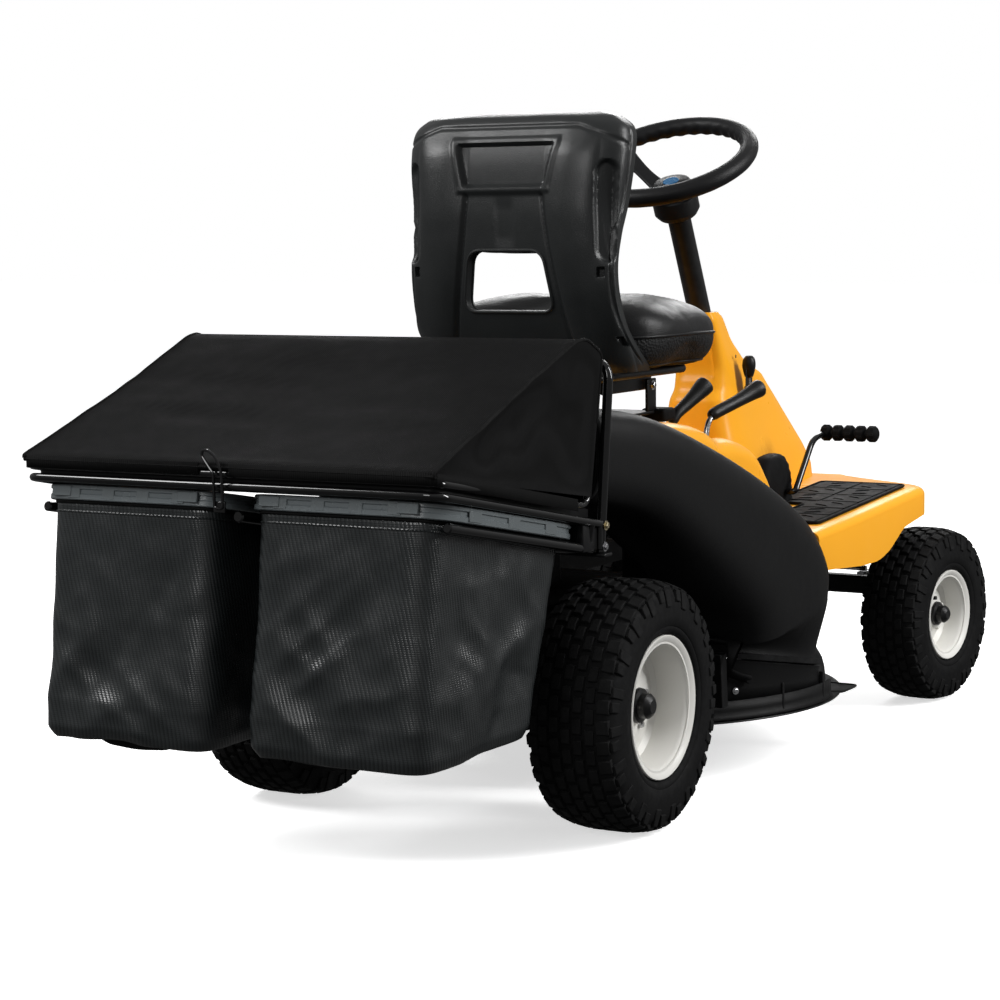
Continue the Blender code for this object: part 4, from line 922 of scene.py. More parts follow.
def make_hoop_and_posts():
    """The hood's tube hoop, and the bent post tube that it hinges on."""
    corner = (-0.180, on_slope(-0.180) + 0.007)
    top = (-0.1395, 0.7345)
    points = [(-0.338, *top), (-0.338, *corner), (-0.350, HOOD_REAR_Y, HOOD_REAR_Z),
              (0.350, HOOD_REAR_Y, HOOD_REAR_Z), (0.338, *corner), (0.338, *top)]
    hoop = sweep("hood_hoop", rounded([at(*p) for p in points], 0.024, 7, cyclic=True), 0.0060,
                 "tube", 18, cyclic=True)
    finish_piece(hoop, "hood", nodes=("hood_frame",))
    foot, hinge, x = (-0.1595, 0.4600), (-0.127, 0.743), 0.350
    points = [(-x, *foot), (-x, *hinge), (x, *hinge), (x, *foot)]
    posts = sweep("posts", rounded([at(*p) for p in points], 0.030, 8), 0.0075, "tube", 20)
    finish_piece(posts, "chassis", nodes=("post_frame",))
    for side, tag in SIDES:
        for k, z in enumerate((0.4685, 0.500)):
            y = -0.1595 + (z - 0.46) / 0.283 * 0.0325
            bolt(f"post_bolt_{tag}_{k}", at(side * 0.3572, y, z), (side, 0, 0), 0.0050, "chassis",
                 "zinc" if k else "steel")


def make_latch():
    """A bent wire that hooks over the hood's rear hem."""
    y, z = HOOD_REAR_Y - 0.0125, HOOD_REAR_Z
    points = [(0.007, y + 0.002, z - 0.048), (0.0072, y, z + 0.004), (-0.002, y, z + 0.024),
              (-0.014, y, z + 0.033), (-0.024, y, z + 0.034), (-0.026, y, z + 0.026),
              (-0.014, y, z + 0.010), (-0.0070, y, z + 0.002), (-0.007, y + 0.002, z - 0.048)]
    wire = sweep("latch_wire", rounded([at(*p) for p in points], 0.010, 5, cyclic=True), 0.0022,
                 "tube", 10, cyclic=True)
    finish_piece(wire, "wire_latch", nodes=("wire_latch",))
    clip = bmesh.new()
    block(clip, (0.020, 0.0040, 0.016), Matrix.Translation(at(0, y + 0.0045, z - 0.046)))
    clip = bevel(add("latch_keeper", clip, "tube"), 0.0012)
    finish_piece(clip, "wire_latch")


RIM_DROP = TUBE_DROP + 0.006 + 0.0012


def slope_place():
    """The plane of the bag rims' tops, just under the support tube."""
    top = on_slope(HOOD_REAR_Y, RIM_DROP)
    return (Matrix.Translation(at(0, HOOD_REAR_Y, top))
            @ Matrix.Rotation(-BAG_SLOPE, 4, "X"))


def make_bag_rim(side, tag):
    """Moulded rim: stepped flange, ribs along its edge and a collar the bag is sewn to."""
    inner, outer, rear, front = 0.014, 0.3500, 0.014, 0.438
    matrix = slope_place()
    outline = even(squircle(160, 0.30), 120)

    def ring(inset, drop):
        return [matrix @ Vector((side * ((inner + outer) / 2 + a * ((outer - inner) / 2 - inset)),
                                 (rear + front) / 2 + b * ((front - rear) / 2 - inset), -drop))
                for a, b in outline]
    section = ((0.0015, 0.0), (0.0, 0.0015), (0.0, 0.0060), (0.0022, 0.0075), (0.0022, 0.0130),
               (0.0005, 0.0145), (0.0005, 0.0212), (0.0020, 0.0225), (0.0255, 0.0228),
               (0.0265, 0.0240), (0.0265, 0.0430), (0.0275, 0.0440), (0.0300, 0.0440),
               (0.0310, 0.0430), (0.0310, 0.0070), (0.0290, 0.0045), (0.0110, 0.0005))
    rim = loft(f"bag_{tag}_rim", [ring(*s) for s in section], "lip", closed=True, angle=30.0)
    finish_piece(rim, f"bag_{tag}", nodes=(f"bag_rim_{tag}",))
    bm = bmesh.new()
    for k in range(4):
        x = inner + (outer - inner) * (0.22 + 0.185 * k)
        place = matrix @ Matrix.Translation((side * x, rear + 0.0012, -0.0120))
        block(bm, (0.022, 0.0022, 0.016), place)
    for k, x in enumerate((0.070, 0.296)):
        place = matrix @ Matrix.Translation((side * x, rear + 0.0006, -0.0100))
        block(bm, (0.034, 0.0042, 0.015), place)
    for k in range(3):
        y = rear + (front - rear) * (0.22 + 0.26 * k)
        place = matrix @ Matrix.Translation((side * (outer - 0.0012), y, -0.0120))
        block(bm, (0.0022, 0.034, 0.016), place)
    ribs = bevel(add(f"bag_{tag}_rim_ribs", bm, "lip"), 0.0008, 1)
    finish_piece(ribs, f"bag_{tag}")


BAG_KEYS = (0.0, 0.36, 0.80, 0.94, 1.0)
BAG_LOW = 0.2062
BAG_ROWS = ((0.0340, 0.3300, -0.614, -0.225), (0.0320, 0.3325, -0.627, -0.262),
            (0.0290, 0.3345, -0.646, -0.310), (0.0310, 0.3330, -0.645, -0.322),
            (0.0400, 0.3250, -0.636, -0.332))


def bag_top(y):
    return on_slope(y, RIM_DROP + 0.0250)


def bag_creases(x, y, z, t, seed):
    """Large soft dents and two sets of folds, deeper towards the bottom."""
    push = wrinkle((x * 0.9, y * 0.9, z * 0.5), 7.5, 0.007, seed) - 0.003
    fold = noise.noise(Vector((x * 7 + z * 5, y * 7 - z * 4, z * 5 + seed)))
    second = noise.noise(Vector((x * 12 - z * 9, y * 12 + z * 7, z * 8 - seed)))
    push += 0.022 * (0.26 - math.sqrt(fold * fold + 0.004)) * (0.6 + t)
    push += 0.012 * (0.26 - math.sqrt(second * second + 0.003)) * (0.4 + t)
    return max(-0.014, min(0.005, push))


def bag_walls(side):
    """The bag's rings from its hem down.

    BAG_ROWS holds inner x, outer x, rear y and front y at each of BAG_KEYS, top to bottom.
    """
    outline = even(squircle(240, 0.20), 156)
    levels = 60
    seed = 4.0 if side < 0 else 11.0
    rings = []
    for i in range(levels + 1):
        t = i / levels
        ring = []
        for a, b in outline:
            x_in, x_out, rear, front = (np.interp(t, BAG_KEYS, [row[k] for row in BAG_ROWS])
                                        for k in range(4))
            slack = max(0.0, math.sin(math.pi * min(1.0, t * 0.98))) ** 0.6
            mid = 1.0 - 0.006 * slack * (1 - abs(a)) - 0.006 * slack * (1 - abs(b))
            x = (x_in + x_out) / 2 + a * (x_out - x_in) / 2 * mid
            y = (rear + front) / 2 + b * (front - rear) / 2 * mid
            zs = [bag_top(y), 0.400, 0.265, 0.222, 0.206]
            z = float(np.interp(t, BAG_KEYS, zs))
            norm = Vector((a ** 3, b ** 3, 0)).normalized()
            flat = 1.0 - 0.75 * min(1.0, (abs(a * b) / 0.9) ** 3)
            push = bag_creases(x, y, z, t, seed) * slack * flat
            x += norm.x * push
            y += norm.y * push
            if t > 0.75:
                z += (t - 0.75) * 4 * wrinkle((x, y, 0.3), 11.0, 0.010, seed + 5)
            ring.append(at(side * x, y, max(BAG_LOW, z)))
        rings.append(ring)
    return rings


def close_bag(bag, count):
    """Close the bottom from the last ring of count points inwards."""
    bm = bmesh.new()
    bm.from_mesh(bag.data)
    bm.verts.ensure_lookup_table()
    last = bm.verts[-count:]
    centre = sum((v.co for v in last), Vector()) / len(last)
    previous = last
    for shrink, lift in ((0.80, 0.003), (0.55, 0.001), (0.28, 0.0)):
        row = []
        for v in last:
            q = centre.lerp(v.co, shrink)
            q.z = BAG_LOW + lift + max(0.0, wrinkle(q, 16.0, 0.006, 2.0))
            row.append(bm.verts.new(q))
        for j, v in enumerate(row):
            bm.faces.new((previous[j - 1], previous[j], v, row[j - 1]))
        previous = row
    tip = bm.verts.new(centre)
    for j, v in enumerate(previous):
        bm.faces.new((previous[j - 1], v, tip))
    bmesh.ops.recalc_face_normals(bm, faces=bm.faces)
    bm.to_mesh(bag.data)
    bm.free()
    bag.data.shade_smooth()


def make_bag(side, tag):
    """Hanging nylon bag: creased walls, a sagging bottom, a hem and a row of stitches."""
    rings = bag_walls(side)
    bag = loft(f"bag_{tag}_cloth", rings, "bag", angle=60.0)
    close_bag(bag, len(rings[-1]))
    bake(thicken(bag, 0.0022))
    finish_piece(bag, f"bag_{tag}", nodes=(f"bag_{tag}",))
    band = sweep(f"bag_{tag}_hem", rings[0], 0.0030, "web", 8, cyclic=True)
    finish_piece(band, f"bag_{tag}")
    stitch = sweep(f"bag_{tag}_stitch", rings[2], 0.0016, "bag", 6, cyclic=True)
    finish_piece(stitch, f"bag_{tag}")
    return bag


def make_strap(side, tag):
    """A webbing loop under a bag."""
    low = 0.2080
    points = [at(side * x, -0.607, z) for x, z in ((0.120, low), (0.135, low - 0.006),
                                                   (0.185, low - 0.010), (0.235, low - 0.006),
                                                   (0.250, low))]
    strap = sweep(f"bag_{tag}_strap", rounded(points, 0.02, 5), 0.0105, "web", 12,
                  flatten=(0.16, 1.0))
    finish_piece(strap, f"bag_{tag}")


# ---------------------------------------------------------------- body panels
PANEL = 0.0032
CONSOLE_HALF = 0.200
CONSOLE_TOP = ((0.215, 0.612), (0.400, 0.609), (0.500, 0.598), (0.560, 0.585), (0.610, 0.566),
               (0.680, 0.559), (0.756, 0.537), (0.800, 0.500), (0.840, 0.455), (0.868, 0.432))


def pan_top(y):
    """The height of the sloping floor at y."""
    return 0.398 + 0.0625 * (min(y, 1.20) - 0.72)


def paint_faces(ob, material, test):
    """Give the faces that pass the test a second material."""
    ob.data.materials.append(M[material])
    index = len(ob.data.materials) - 1
    for face in ob.data.polygons:
        if test(face):
            face.material_index = index


def make_console():
    """Arched engine-to-floor panel with soft shoulders and a raised lever ledge."""
    rings = []
    for y, top in smooth_rows(CONSOLE_TOP, 6):
        foot = 0.345 + 0.050 * max(0.0, (y - 0.70) / 0.168)
        soft = min(0.035, (top - foot) * 0.45)
        side = [(CONSOLE_HALF, foot), (CONSOLE_HALF, foot + 0.010),
                (CONSOLE_HALF, top - soft * 1.2)]
        for k in range(9):
            a = math.pi / 2 * k / 8
            side.append((CONSOLE_HALF - soft * (1 - math.cos(a)),
                         top - soft * (1 - math.sin(a))))
        side += [(CONSOLE_HALF * 0.5, top + 0.0004), (0.0, top + 0.0006)]
        rings.append(mirrored(side, y))
    body = loft("console", rings, "yellow", cyclic=False, angle=28.0)
    close_front(body, len(rings[-1]))
    bake(thicken(body, PANEL))
    for x, y in ((0.100, 0.624), (0.150, 0.659)):
        cut_box(body, (0.027, 0.086, 0.12), at(x, y, 0.575))
    sharpen(body, 28)
    # Painted shade: the low rear sides under the seat, the downward faces and the inward faces take the
    # black frame paint instead of yellow.
    paint_faces(body, "frame", lambda f: (f.center.y < AXLE_Y + 0.60 and f.center.z < 0.520)
                or f.normal.z < -0.2 or f.normal.x * f.center.x < -0.02)
    finish_piece(body, "chassis", nodes=("body_console",))


FLOOR = ((0.700, 0.345, 0.325), (0.900, 0.350, 0.311), (0.980, 0.350, 0.311),
         (1.035, 0.350, 0.324), (1.110, 0.350, 0.360), (1.200, 0.350, 0.371),
         (1.235, 0.350, 0.375), (1.262, 0.318, 0.377), (1.330, 0.200, 0.385),
         (1.386, 0.118, 0.395))


def make_floor_pan():
    """Shallow tray with rolled edges, open below and behind; FLOOR holds y, half width, foot."""
    rings = []
    for y, half, low in softened(dense_rows(FLOOR, 0.012)):
        top = pan_top(y)
        side = [(half, low), (half, low + 0.006), (half, top - 0.016)]
        for k in range(1, 7):
            a = math.pi / 2 * k / 6
            side.append((half - 0.022 * (1 - math.cos(a)), top - 0.016 + 0.016 * math.sin(a)))
        side += [(half - 0.040, top), (half * 0.4, top), (0.0, top)]
        rings.append(mirrored(side, y))
    pan = loft("pan", rings, "yellow", cyclic=False, angle=28.0)
    close_front(pan, len(rings[-1]))
    bake(thicken(pan, PANEL))
    cut_box(pan, (2 * CONSOLE_HALF + 0.006, 0.2735, 0.25), at(0, 0.7367, 0.375))
    cut_box(pan, (0.058, 0.078, 0.2), at(0, 1.110, 0.40))
    sharpen(pan, 28)
    # Painted shade: the pan's downward faces take the black frame paint instead of yellow.
    paint_faces(pan, "frame", lambda f: f.normal.z < -0.35)
    finish_piece(pan, "chassis", nodes=("floor_pan",))


TOWER = ((0.776, 0.902, 0.960, 0.040), (0.768, 0.896, 0.978, 0.047), (0.720, 0.912, 1.012, 0.053),
         (0.669, 0.922, 1.087, 0.058), (0.654, 0.920, 1.150, 0.060), (0.625, 0.916, 1.186, 0.063),
         (0.612, 0.904, 1.200, 0.068), (0.564, 0.900, 1.255, 0.078), (0.500, 0.896, 1.325, 0.095),
         (0.459, 0.890, 1.366, 0.100), (0.4165, 0.890, 1.372, 0.104))


def make_tower():
    """Steering tower: a fin that widens to the floor, with a ledge and a recessed back.

    TOWER holds height, rear y, front y and half width.
    """
    rings = []
    outline = even(squircle(200, 0.42), 96)
    rows = softened(dense_rows(TOWER, 0.006))
    for index, (z, rear, front, half) in enumerate(rows):
        ring = []
        for a, b in outline:
            y = (rear + front) / 2 + b * (front - rear) / 2
            x = a * half * (1.0 - 0.30 * (b + 1) / 2)
            if b < -0.6:
                inset = min(1.0, max(0.0, (0.62 - abs(a)) / 0.10))
                band = min(1.0, max(0.0, (z - 0.645) / 0.010))
                band *= min(1.0, max(0.0, (0.755 - z) / 0.010))
                y += 0.0035 * inset * band
            height = pan_top(y) + 0.0006
            if index < len(rows) - 1:
                height = max(z, height)
            ring.append(at(x, y, height))
        rings.append(ring)
    top = rings[0]
    centre = sum(top, Vector()) / len(top)
    for shrink, lift in ((0.93, 0.0020), (0.80, 0.0032), (0.70, 0.0034)):
        rings.insert(0, [centre.lerp(p, shrink) + Vector((0, 0, lift - 0.0034)) for p in top])
    tower = loft("tower", rings, "yellow", caps=(True, False), angle=26.0)
    bake(thicken(tower, PANEL))
    column = bmesh.new()
    bmesh.ops.create_cone(column, cap_ends=True, segments=48, radius1=0.0232, radius2=0.0232,
                          depth=0.16)
    bmesh.ops.transform(column, matrix=facing(COLUMN_TOP - COLUMN_AXIS * 0.28, COLUMN_AXIS),
                        verts=column.verts)
    cut(tower, place_mesh("column_hole", column))
    sharpen(tower, 26)
    finish_piece(tower, "chassis", nodes=("dash_tower",))
    for k, (x, y, z) in enumerate(((0.0545, 0.982, 0.690), (0.0610, 1.010, 0.628))):
        screw = lathe(f"tower_screw_{k}", [(0.0, 0.0008), (0.0026, 0.0008), (0.0034, 0.0),
                                           (0.0, -0.001)], "black", 20,
                      matrix=facing(at(x, y, z), (1, 0.12, 0.05)))
        finish_piece(screw, "chassis")
    plate = bmesh.new()
    block(plate, (0.0016, 0.034, 0.060), Matrix.Translation(at(0.0742, 1.000, 0.640))
          @ Matrix.Rotation(0.05, 4, "Z"))
    plate = bevel(add("throttle_plate", plate, "black"), 0.0007)
    finish_piece(plate, "chassis")


def make_mats():
    """Rubber mats: a border, and raised squares with slanting bars."""
    for side, tag in SIDES:
        slope = math.atan(0.0625)
        place = (Matrix.Translation(at(0, 0.720, pan_top(0.72) + 0.0004))
                 @ Matrix.Rotation(slope, 4, "X"))
        corners = [(0.212, 0.760), (0.318, 0.760), (0.318, 1.200), (0.142, 1.200),
                   (0.142, 0.950), (0.212, 0.950)]
        path = rounded([(side * x, (y - 0.72) / math.cos(slope), 0) for x, y in corners],
                       0.014, 5, cyclic=True)
        lower = [place @ Vector((p.x, p.y, 0.0)) for p in path]
        upper = [place @ Vector((p.x, p.y, 0.0032)) for p in path]
        mat = loft(f"mat_{tag}", [lower, upper], "rubber", caps=(True, True), angle=25.0)
        finish_piece(mat, "chassis", nodes=(f"foot_mat_{tag}",))
        bm = bmesh.new()
        for row, y in enumerate((0.800, 0.872, 0.944, 1.016, 1.088, 1.160)):
            x_low, x_high = 0.150 if y > 0.98 else 0.220, 0.310
            cells = 1 if x_high - x_low < 0.1 else 2
            width = (x_high - x_low) / cells
            for c in range(cells):
                x = x_low + width * (c + 0.5)
                spot = place @ Matrix.Translation((side * x, (y - 0.72) / math.cos(slope), 0.0040))
                block(bm, (width * 0.95, 0.0670, 0.0022), spot, 0.98)
                turn = Matrix.Rotation(side * (0.45 if (row + c) % 2 else -0.45), 4, "Z")
                for shift in (-0.017, 0.015):
                    bar = spot @ turn @ Matrix.Translation((shift * 0.3, shift, 0.0018))
                    block(bm, (width * 0.42, 0.0050, 0.0020), bar, 0.6)
        treads = bevel(add(f"mat_{tag}_tread", bm, "rubber"), 0.0007, 1)
        finish_piece(treads, "chassis")
        border = sweep(f"mat_{tag}_border", [place @ Vector((p.x, p.y, 0.0036))
                                             for p in path], 0.0022, "rubber", 8, cyclic=True)
        finish_piece(border, "chassis")


def make_boot():
    """Pleated dust boot round the pedal shaft."""
    rings = []
    profile = ((0.0, 1.0), (0.006, 1.0), (0.008, 0.965), (0.020, 0.965), (0.024, 0.99),
               (0.030, 0.95), (0.038, 0.97), (0.045, 0.93), (0.052, 0.93), (0.060, 0.86),
               (0.068, 0.85), (0.076, 0.74), (0.084, 0.66), (0.090, 0.48), (0.093, 0.28))
    outline = even(squircle(120, 0.7), 56)
    for height, scale in profile:
        ring = []
        for a, b in outline:
            y = 0.950 + b * 0.068 * scale
            x = 0.1395 + a * 0.0305 * (scale if a > 0 else min(1.0, scale + 0.05))
            ring.append(at(x, y, pan_top(y) + 0.0007 + height))
        rings.append(ring)
    boot = loft("boot", rings, "rubber", caps=(False, True), angle=50.0)
    bake(thicken(boot, 0.0022))
    finish_piece(boot, "chassis", "black_plastic", nodes=("pedal_boot_right",))


# ---------------------------------------------------------------- steering
COLUMN_TOP = at(0.0, 0.813, 1.024)
COLUMN_AXIS = Vector((0.0, -0.442, 0.897)).normalized()
WHEEL_RIM_RADIUS, WHEEL_RIM_TUBE, WHEEL_LIFT = 0.155, 0.0165, 0.040
STEER_REST = math.radians(-26.6)


def wheel_frame():
    """The steering wheel's own frame, turned to where it rests in the photo."""
    right = Vector((1.0, 0.0, 0.0))
    ahead = COLUMN_AXIS.cross(right)
    turn = Matrix((right, ahead, COLUMN_AXIS)).transposed().to_4x4()
    return Matrix.Translation(COLUMN_TOP) @ turn @ Matrix.Rotation(STEER_REST, 4, "Z")


def make_steering_wheel():
    """A rim with finger grips inside, three spokes, a stepped hub and the column's sleeve."""
    place = wheel_frame()
    sides, around = 22, 192
    rings = []
    for a in turns(around):
        ring = []
        for c in turns(sides):
            grip = 0.5 + 0.5 * math.cos(36 * a)
            inner = max(0.0, -math.cos(c - 0.5))
            r = WHEEL_RIM_TUBE * (1.03 - 0.16 * inner * (1 - grip))
            out = WHEEL_RIM_RADIUS + r * math.cos(c)
            ring.append(place @ Vector((out * math.cos(a), out * math.sin(a),
                                        WHEEL_LIFT + r * math.sin(c))))
        rings.append(ring)
    rim = loft("wheel_rim", rings, "wheel", closed=True, angle=60.0)
    finish_piece(rim, "steering", nodes=("steering_wheel",))
    hub = lathe("wheel_hub", [(0.0, -0.0010), (0.0300, -0.0010), (0.0345, -0.0030),
                              (0.0365, -0.0070), (0.0370, -0.0240), (0.0390, -0.0300),
                              (0.0425, -0.0320), (0.0430, -0.0360), (0.0430, -0.0600),
                              (0.0410, -0.0630), (0.0360, -0.0700), (0.0340, -0.0715),
                              (0.0, -0.0715)], "wheel", 72, matrix=place)
    finish_piece(hub, "steering")
    cap = lathe("wheel_cap", [(0.0, 0.0), (0.0205, -0.0002), (0.0220, -0.0010), (0.0, -0.0020)],
                "black", 64, matrix=place)
    finish_piece(cap, "steering")
    disc = lathe("wheel_disc", [(0.0, 0.0012), (0.0145, 0.0010), (0.0155, 0.0), (0.0, -0.001)],
                 "blue", 64, matrix=place)
    finish_piece(disc, "steering")
    for k, degrees in enumerate((0, 180, 270)):
        rings = []
        steps = 22
        for i in range(steps + 1):
            t = i / steps
            s = t * t * (3 - 2 * t)
            r = 0.026 + (WHEEL_RIM_RADIUS - 0.030) * t
            z = -0.020 + (WHEEL_LIFT + 0.012) * s
            wide = 0.0200 - 0.0060 * math.sin(math.pi * min(1.0, t * 1.15)) + 0.006 * t ** 4
            turn = Matrix.Rotation(math.radians(degrees), 4, "Z")
            rings.append([place @ (turn @ Vector((r, wide * a, z + 0.0050 * b)))
                          for a, b in squircle(20, 0.55)])
        spoke = loft(f"wheel_spoke_{k}", rings, "wheel", caps=(True, True), angle=40.0)
        finish_piece(spoke, "steering")
    sleeve_top, sleeve_low = -0.0760, -0.330
    sleeve = lathe("column", [(0.0218, sleeve_top - 0.002), (0.0218, sleeve_low),
                              (0.0130, sleeve_low), (0.0130, sleeve_top), (0.0205, sleeve_top)],
                   "black", 56, closed=True, matrix=facing(COLUMN_TOP, COLUMN_AXIS))
    finish_piece(sleeve, "chassis", nodes=("column_sleeve",))


# ---------------------------------------------------------------- controls
def make_pedals():
    """Two bent rods, each with a lobed rubber roller."""
    length, lobes = 0.118, 5
    for side, body in ((1, "drive_pedal"), (-1, "brake_pedal")):
        x = 0.190
        points = [(0.1725, 0.955, 0.437), (x, 0.955, 0.437), (x, 1.040, 0.530),
                  (x, 1.098, 0.538)]
        path = rounded([at(side * px, py, pz) for px, py, pz in points], 0.022, 7)
        rod = sweep(f"{body}_rod", path, 0.0060, "tube", 16)
        finish_piece(rod, body, nodes=(body,))
        profile = [(0.0, 0.0)]
        for k in range(lobes):
            start = length * k / lobes
            span = length / lobes
            for t, r in ((0.03, 0.0095), (0.12, 0.0136), (0.22, 0.0150), (0.70, 0.0150),
                         (0.80, 0.0136), (0.92, 0.0095)):
                profile.append((r, start + span * t))
        profile.append((0.0, length))
        matrix = facing(at(side * 0.182, 1.1025, 0.538), (side, 0, 0))
        pad = lathe(f"{body}_pad", list(reversed(profile)), "rubber", 40, matrix=matrix,
                    angle=30.0)
        finish_piece(pad, body, nodes=("drive_pedal_pad",) if side > 0 else ())
        bm = bmesh.new()
        for k in range(lobes):
            for j in range(8):
                a = 2 * math.pi * (j + 0.5 * (k % 2)) / 8
                spot = (matrix @ Matrix.Rotation(a, 4, "Z")
                        @ Matrix.Translation((0.0146, 0, length * (k + 0.47) / lobes)))
                block(bm, (0.0022, 0.0062, 0.0125), spot, 0.9)
        lugs = bevel(add(f"{body}_lugs", bm, "rubber"), 0.0006, 1)
        finish_piece(lugs, body)


def swept_grip(name, points, radii, material, body, nodes=()):
    """A bar that swells and thins along smoothed points."""
    rows = smooth_rows([(*at(*p), r) for p, r in zip(points, radii)], 6)
    piece = sweep(name, [row[:3] for row in rows], [max(0.0012, row[3]) for row in rows],
                  material, 28)
    return finish_piece(piece, body, nodes=nodes)


def make_levers():
    """Blade engagement lever, deck lift lever and throttle, each a rod or stem with a grip."""
    rod = [(0.100, 0.580, 0.470), (0.100, 0.598, 0.565), (0.101, 0.612, 0.597)]
    swept_grip("pto_rod", rod, (0.005, 0.005, 0.0055), "steel", "pto_lever", ("pto_lever",))
    grip = [(0.1005, 0.607, 0.590), (0.101, 0.6105, 0.596), (0.104, 0.619, 0.607),
            (0.112, 0.640, 0.6215), (0.120, 0.660, 0.636), (0.126, 0.676, 0.648),
            (0.1295, 0.6855, 0.6550), (0.1310, 0.6885, 0.6575)]
    swept_grip("pto_grip", grip, (0.0075, 0.0095, 0.0105, 0.0118, 0.0138, 0.0165, 0.0168, 0.0120),
               "black", "pto_lever")
    slab("pto_cover", (0.076, 0.124), (0.526, 0.576), (0.598, 0.622), 0.007, "rubber", "chassis",
         segments=4)
    rod = [(0.150, 0.620, 0.450), (0.150, 0.638, 0.545), (0.151, 0.648, 0.585),
           (0.155, 0.662, 0.603)]
    swept_grip("lift_rod", rod, (0.005, 0.005, 0.005, 0.005), "steel", "lift_lever",
               ("lift_lever",))
    grip = [(0.1535, 0.657, 0.599), (0.155, 0.662, 0.603), (0.160, 0.674, 0.6085),
            (0.178, 0.715, 0.624), (0.190, 0.744, 0.6360), (0.1965, 0.759, 0.6425),
            (0.2000, 0.7670, 0.6455), (0.2013, 0.7700, 0.6465)]
    swept_grip("lift_grip", grip, (0.0080, 0.0108, 0.0112, 0.0118, 0.0140, 0.0162, 0.0158, 0.0110),
               "black", "lift_lever")
    stem = [(0.0745, 1.000, 0.615), (0.0745, 1.000, 0.642), (0.0745, 0.999, 0.652)]
    swept_grip("throttle_stem", stem, (0.0030, 0.0030, 0.0030), "steel", "throttle",
               ("throttle_lever",))
    knob = [(0.0745, 0.999, 0.648), (0.0745, 0.999, 0.652), (0.0750, 0.998, 0.660),
            (0.0755, 0.997, 0.672), (0.0760, 0.9965, 0.684), (0.0760, 0.996, 0.691)]
    swept_grip("throttle_knob", knob, (0.0050, 0.0085, 0.0110, 0.0130, 0.0115, 0.0060), "black",
               "throttle")


# ---------------------------------------------------------------- chute and deck
DECK_Y, ADAPTER_RADIUS = 0.600, 0.388


def adapter_x(y):
    """The x of the adapter's outer wall, which follows the round deck."""
    return math.sqrt(ADAPTER_RADIUS ** 2 - (y - DECK_Y) ** 2)


def adapter_ring(outline, z_rear, z_front, inset):
    """A level or sloping ring round the adapter, moved in by inset."""
    ring = []
    for a, b in outline:
        y = 0.487 + b * (0.156 - inset)
        low = 0.234 + inset
        x = low + (a + 1) / 2 * (adapter_x(y) - inset - low)
        ring.append(at(x, y, z_rear + (z_front - z_rear) * (b + 1) / 2))
    return ring


CHUTE_STEPS = 8
CHUTE = ((-0.142, 0.676, -0.156, 0.530, 0.192, 0.340), (0.026, 0.652, 0.010, 0.492, 0.198, 0.367),
         (0.228, 0.588, 0.144, 0.416, 0.209, 0.385), (0.430, 0.510, 0.250, 0.345, 0.215, 0.394),
         (0.582, 0.432, 0.318, 0.296, 0.222, 0.399), (0.662, 0.350, 0.343, 0.265, 0.226, 0.401),
         (0.666, 0.288, 0.352, 0.245, 0.230, 0.399))


def make_chute():
    """Long moulded duct from the deck up into the hood.

    CHUTE holds the y and z of the top edge, those of the bottom edge, and inner and outer x.
    """
    soft, tight = squircle(96, 0.50), squircle(96, 0.45)
    rings = []
    for ty, tz, by, bz, inner, outer in smooth_rows(CHUTE, CHUTE_STEPS):
        rings.append(np.array([at((inner + outer) / 2 + a * (outer - inner) / 2,
                                  (ty + by) / 2 + b * (ty - by) / 2,
                                  (tz + bz) / 2 + b * (tz - bz) / 2) for a, b in soft]))
    foot = [np.array(adapter_ring(tight, 0.252, 0.195, 0.004)),
            np.array(adapter_ring(tight, 0.2236, 0.1666, 0.002))]
    bend = smooth_rows([rings[-1 - CHUTE_STEPS], rings[-1], *foot], 6)[6:]
    rings = [[Vector(p) for p in ring] for ring in rings[:-1] + bend]
    mouth = rings[0]
    centre = sum(mouth, Vector()) / len(mouth)
    lip = [[p + (p - centre).normalized() * g + Vector((0, d, 0)) for p in mouth]
           for g, d in ((0.0, 0.0), (0.0030, 0.0005), (0.0030, 0.012), (0.0, 0.015))]
    chute = loft("chute", rings, "chute", angle=60.0)
    bake(thicken(chute, 0.0034))
    finish_piece(chute, "deck", nodes=("discharge_chute",))
    band = loft("chute_mouth_band", lip, "chute", angle=40.0)
    finish_piece(bake(thicken(band, 0.002)), "deck")
    foot = [adapter_ring(tight, z, z - 0.057, -g) for z, g in
            ((0.2240, 0.0), (0.2245, 0.0035), (0.2330, 0.0040), (0.2345, 0.0))]
    flange = loft("chute_foot_band", foot, "chute", angle=40.0)
    finish_piece(bake(thicken(flange, 0.002)), "deck")


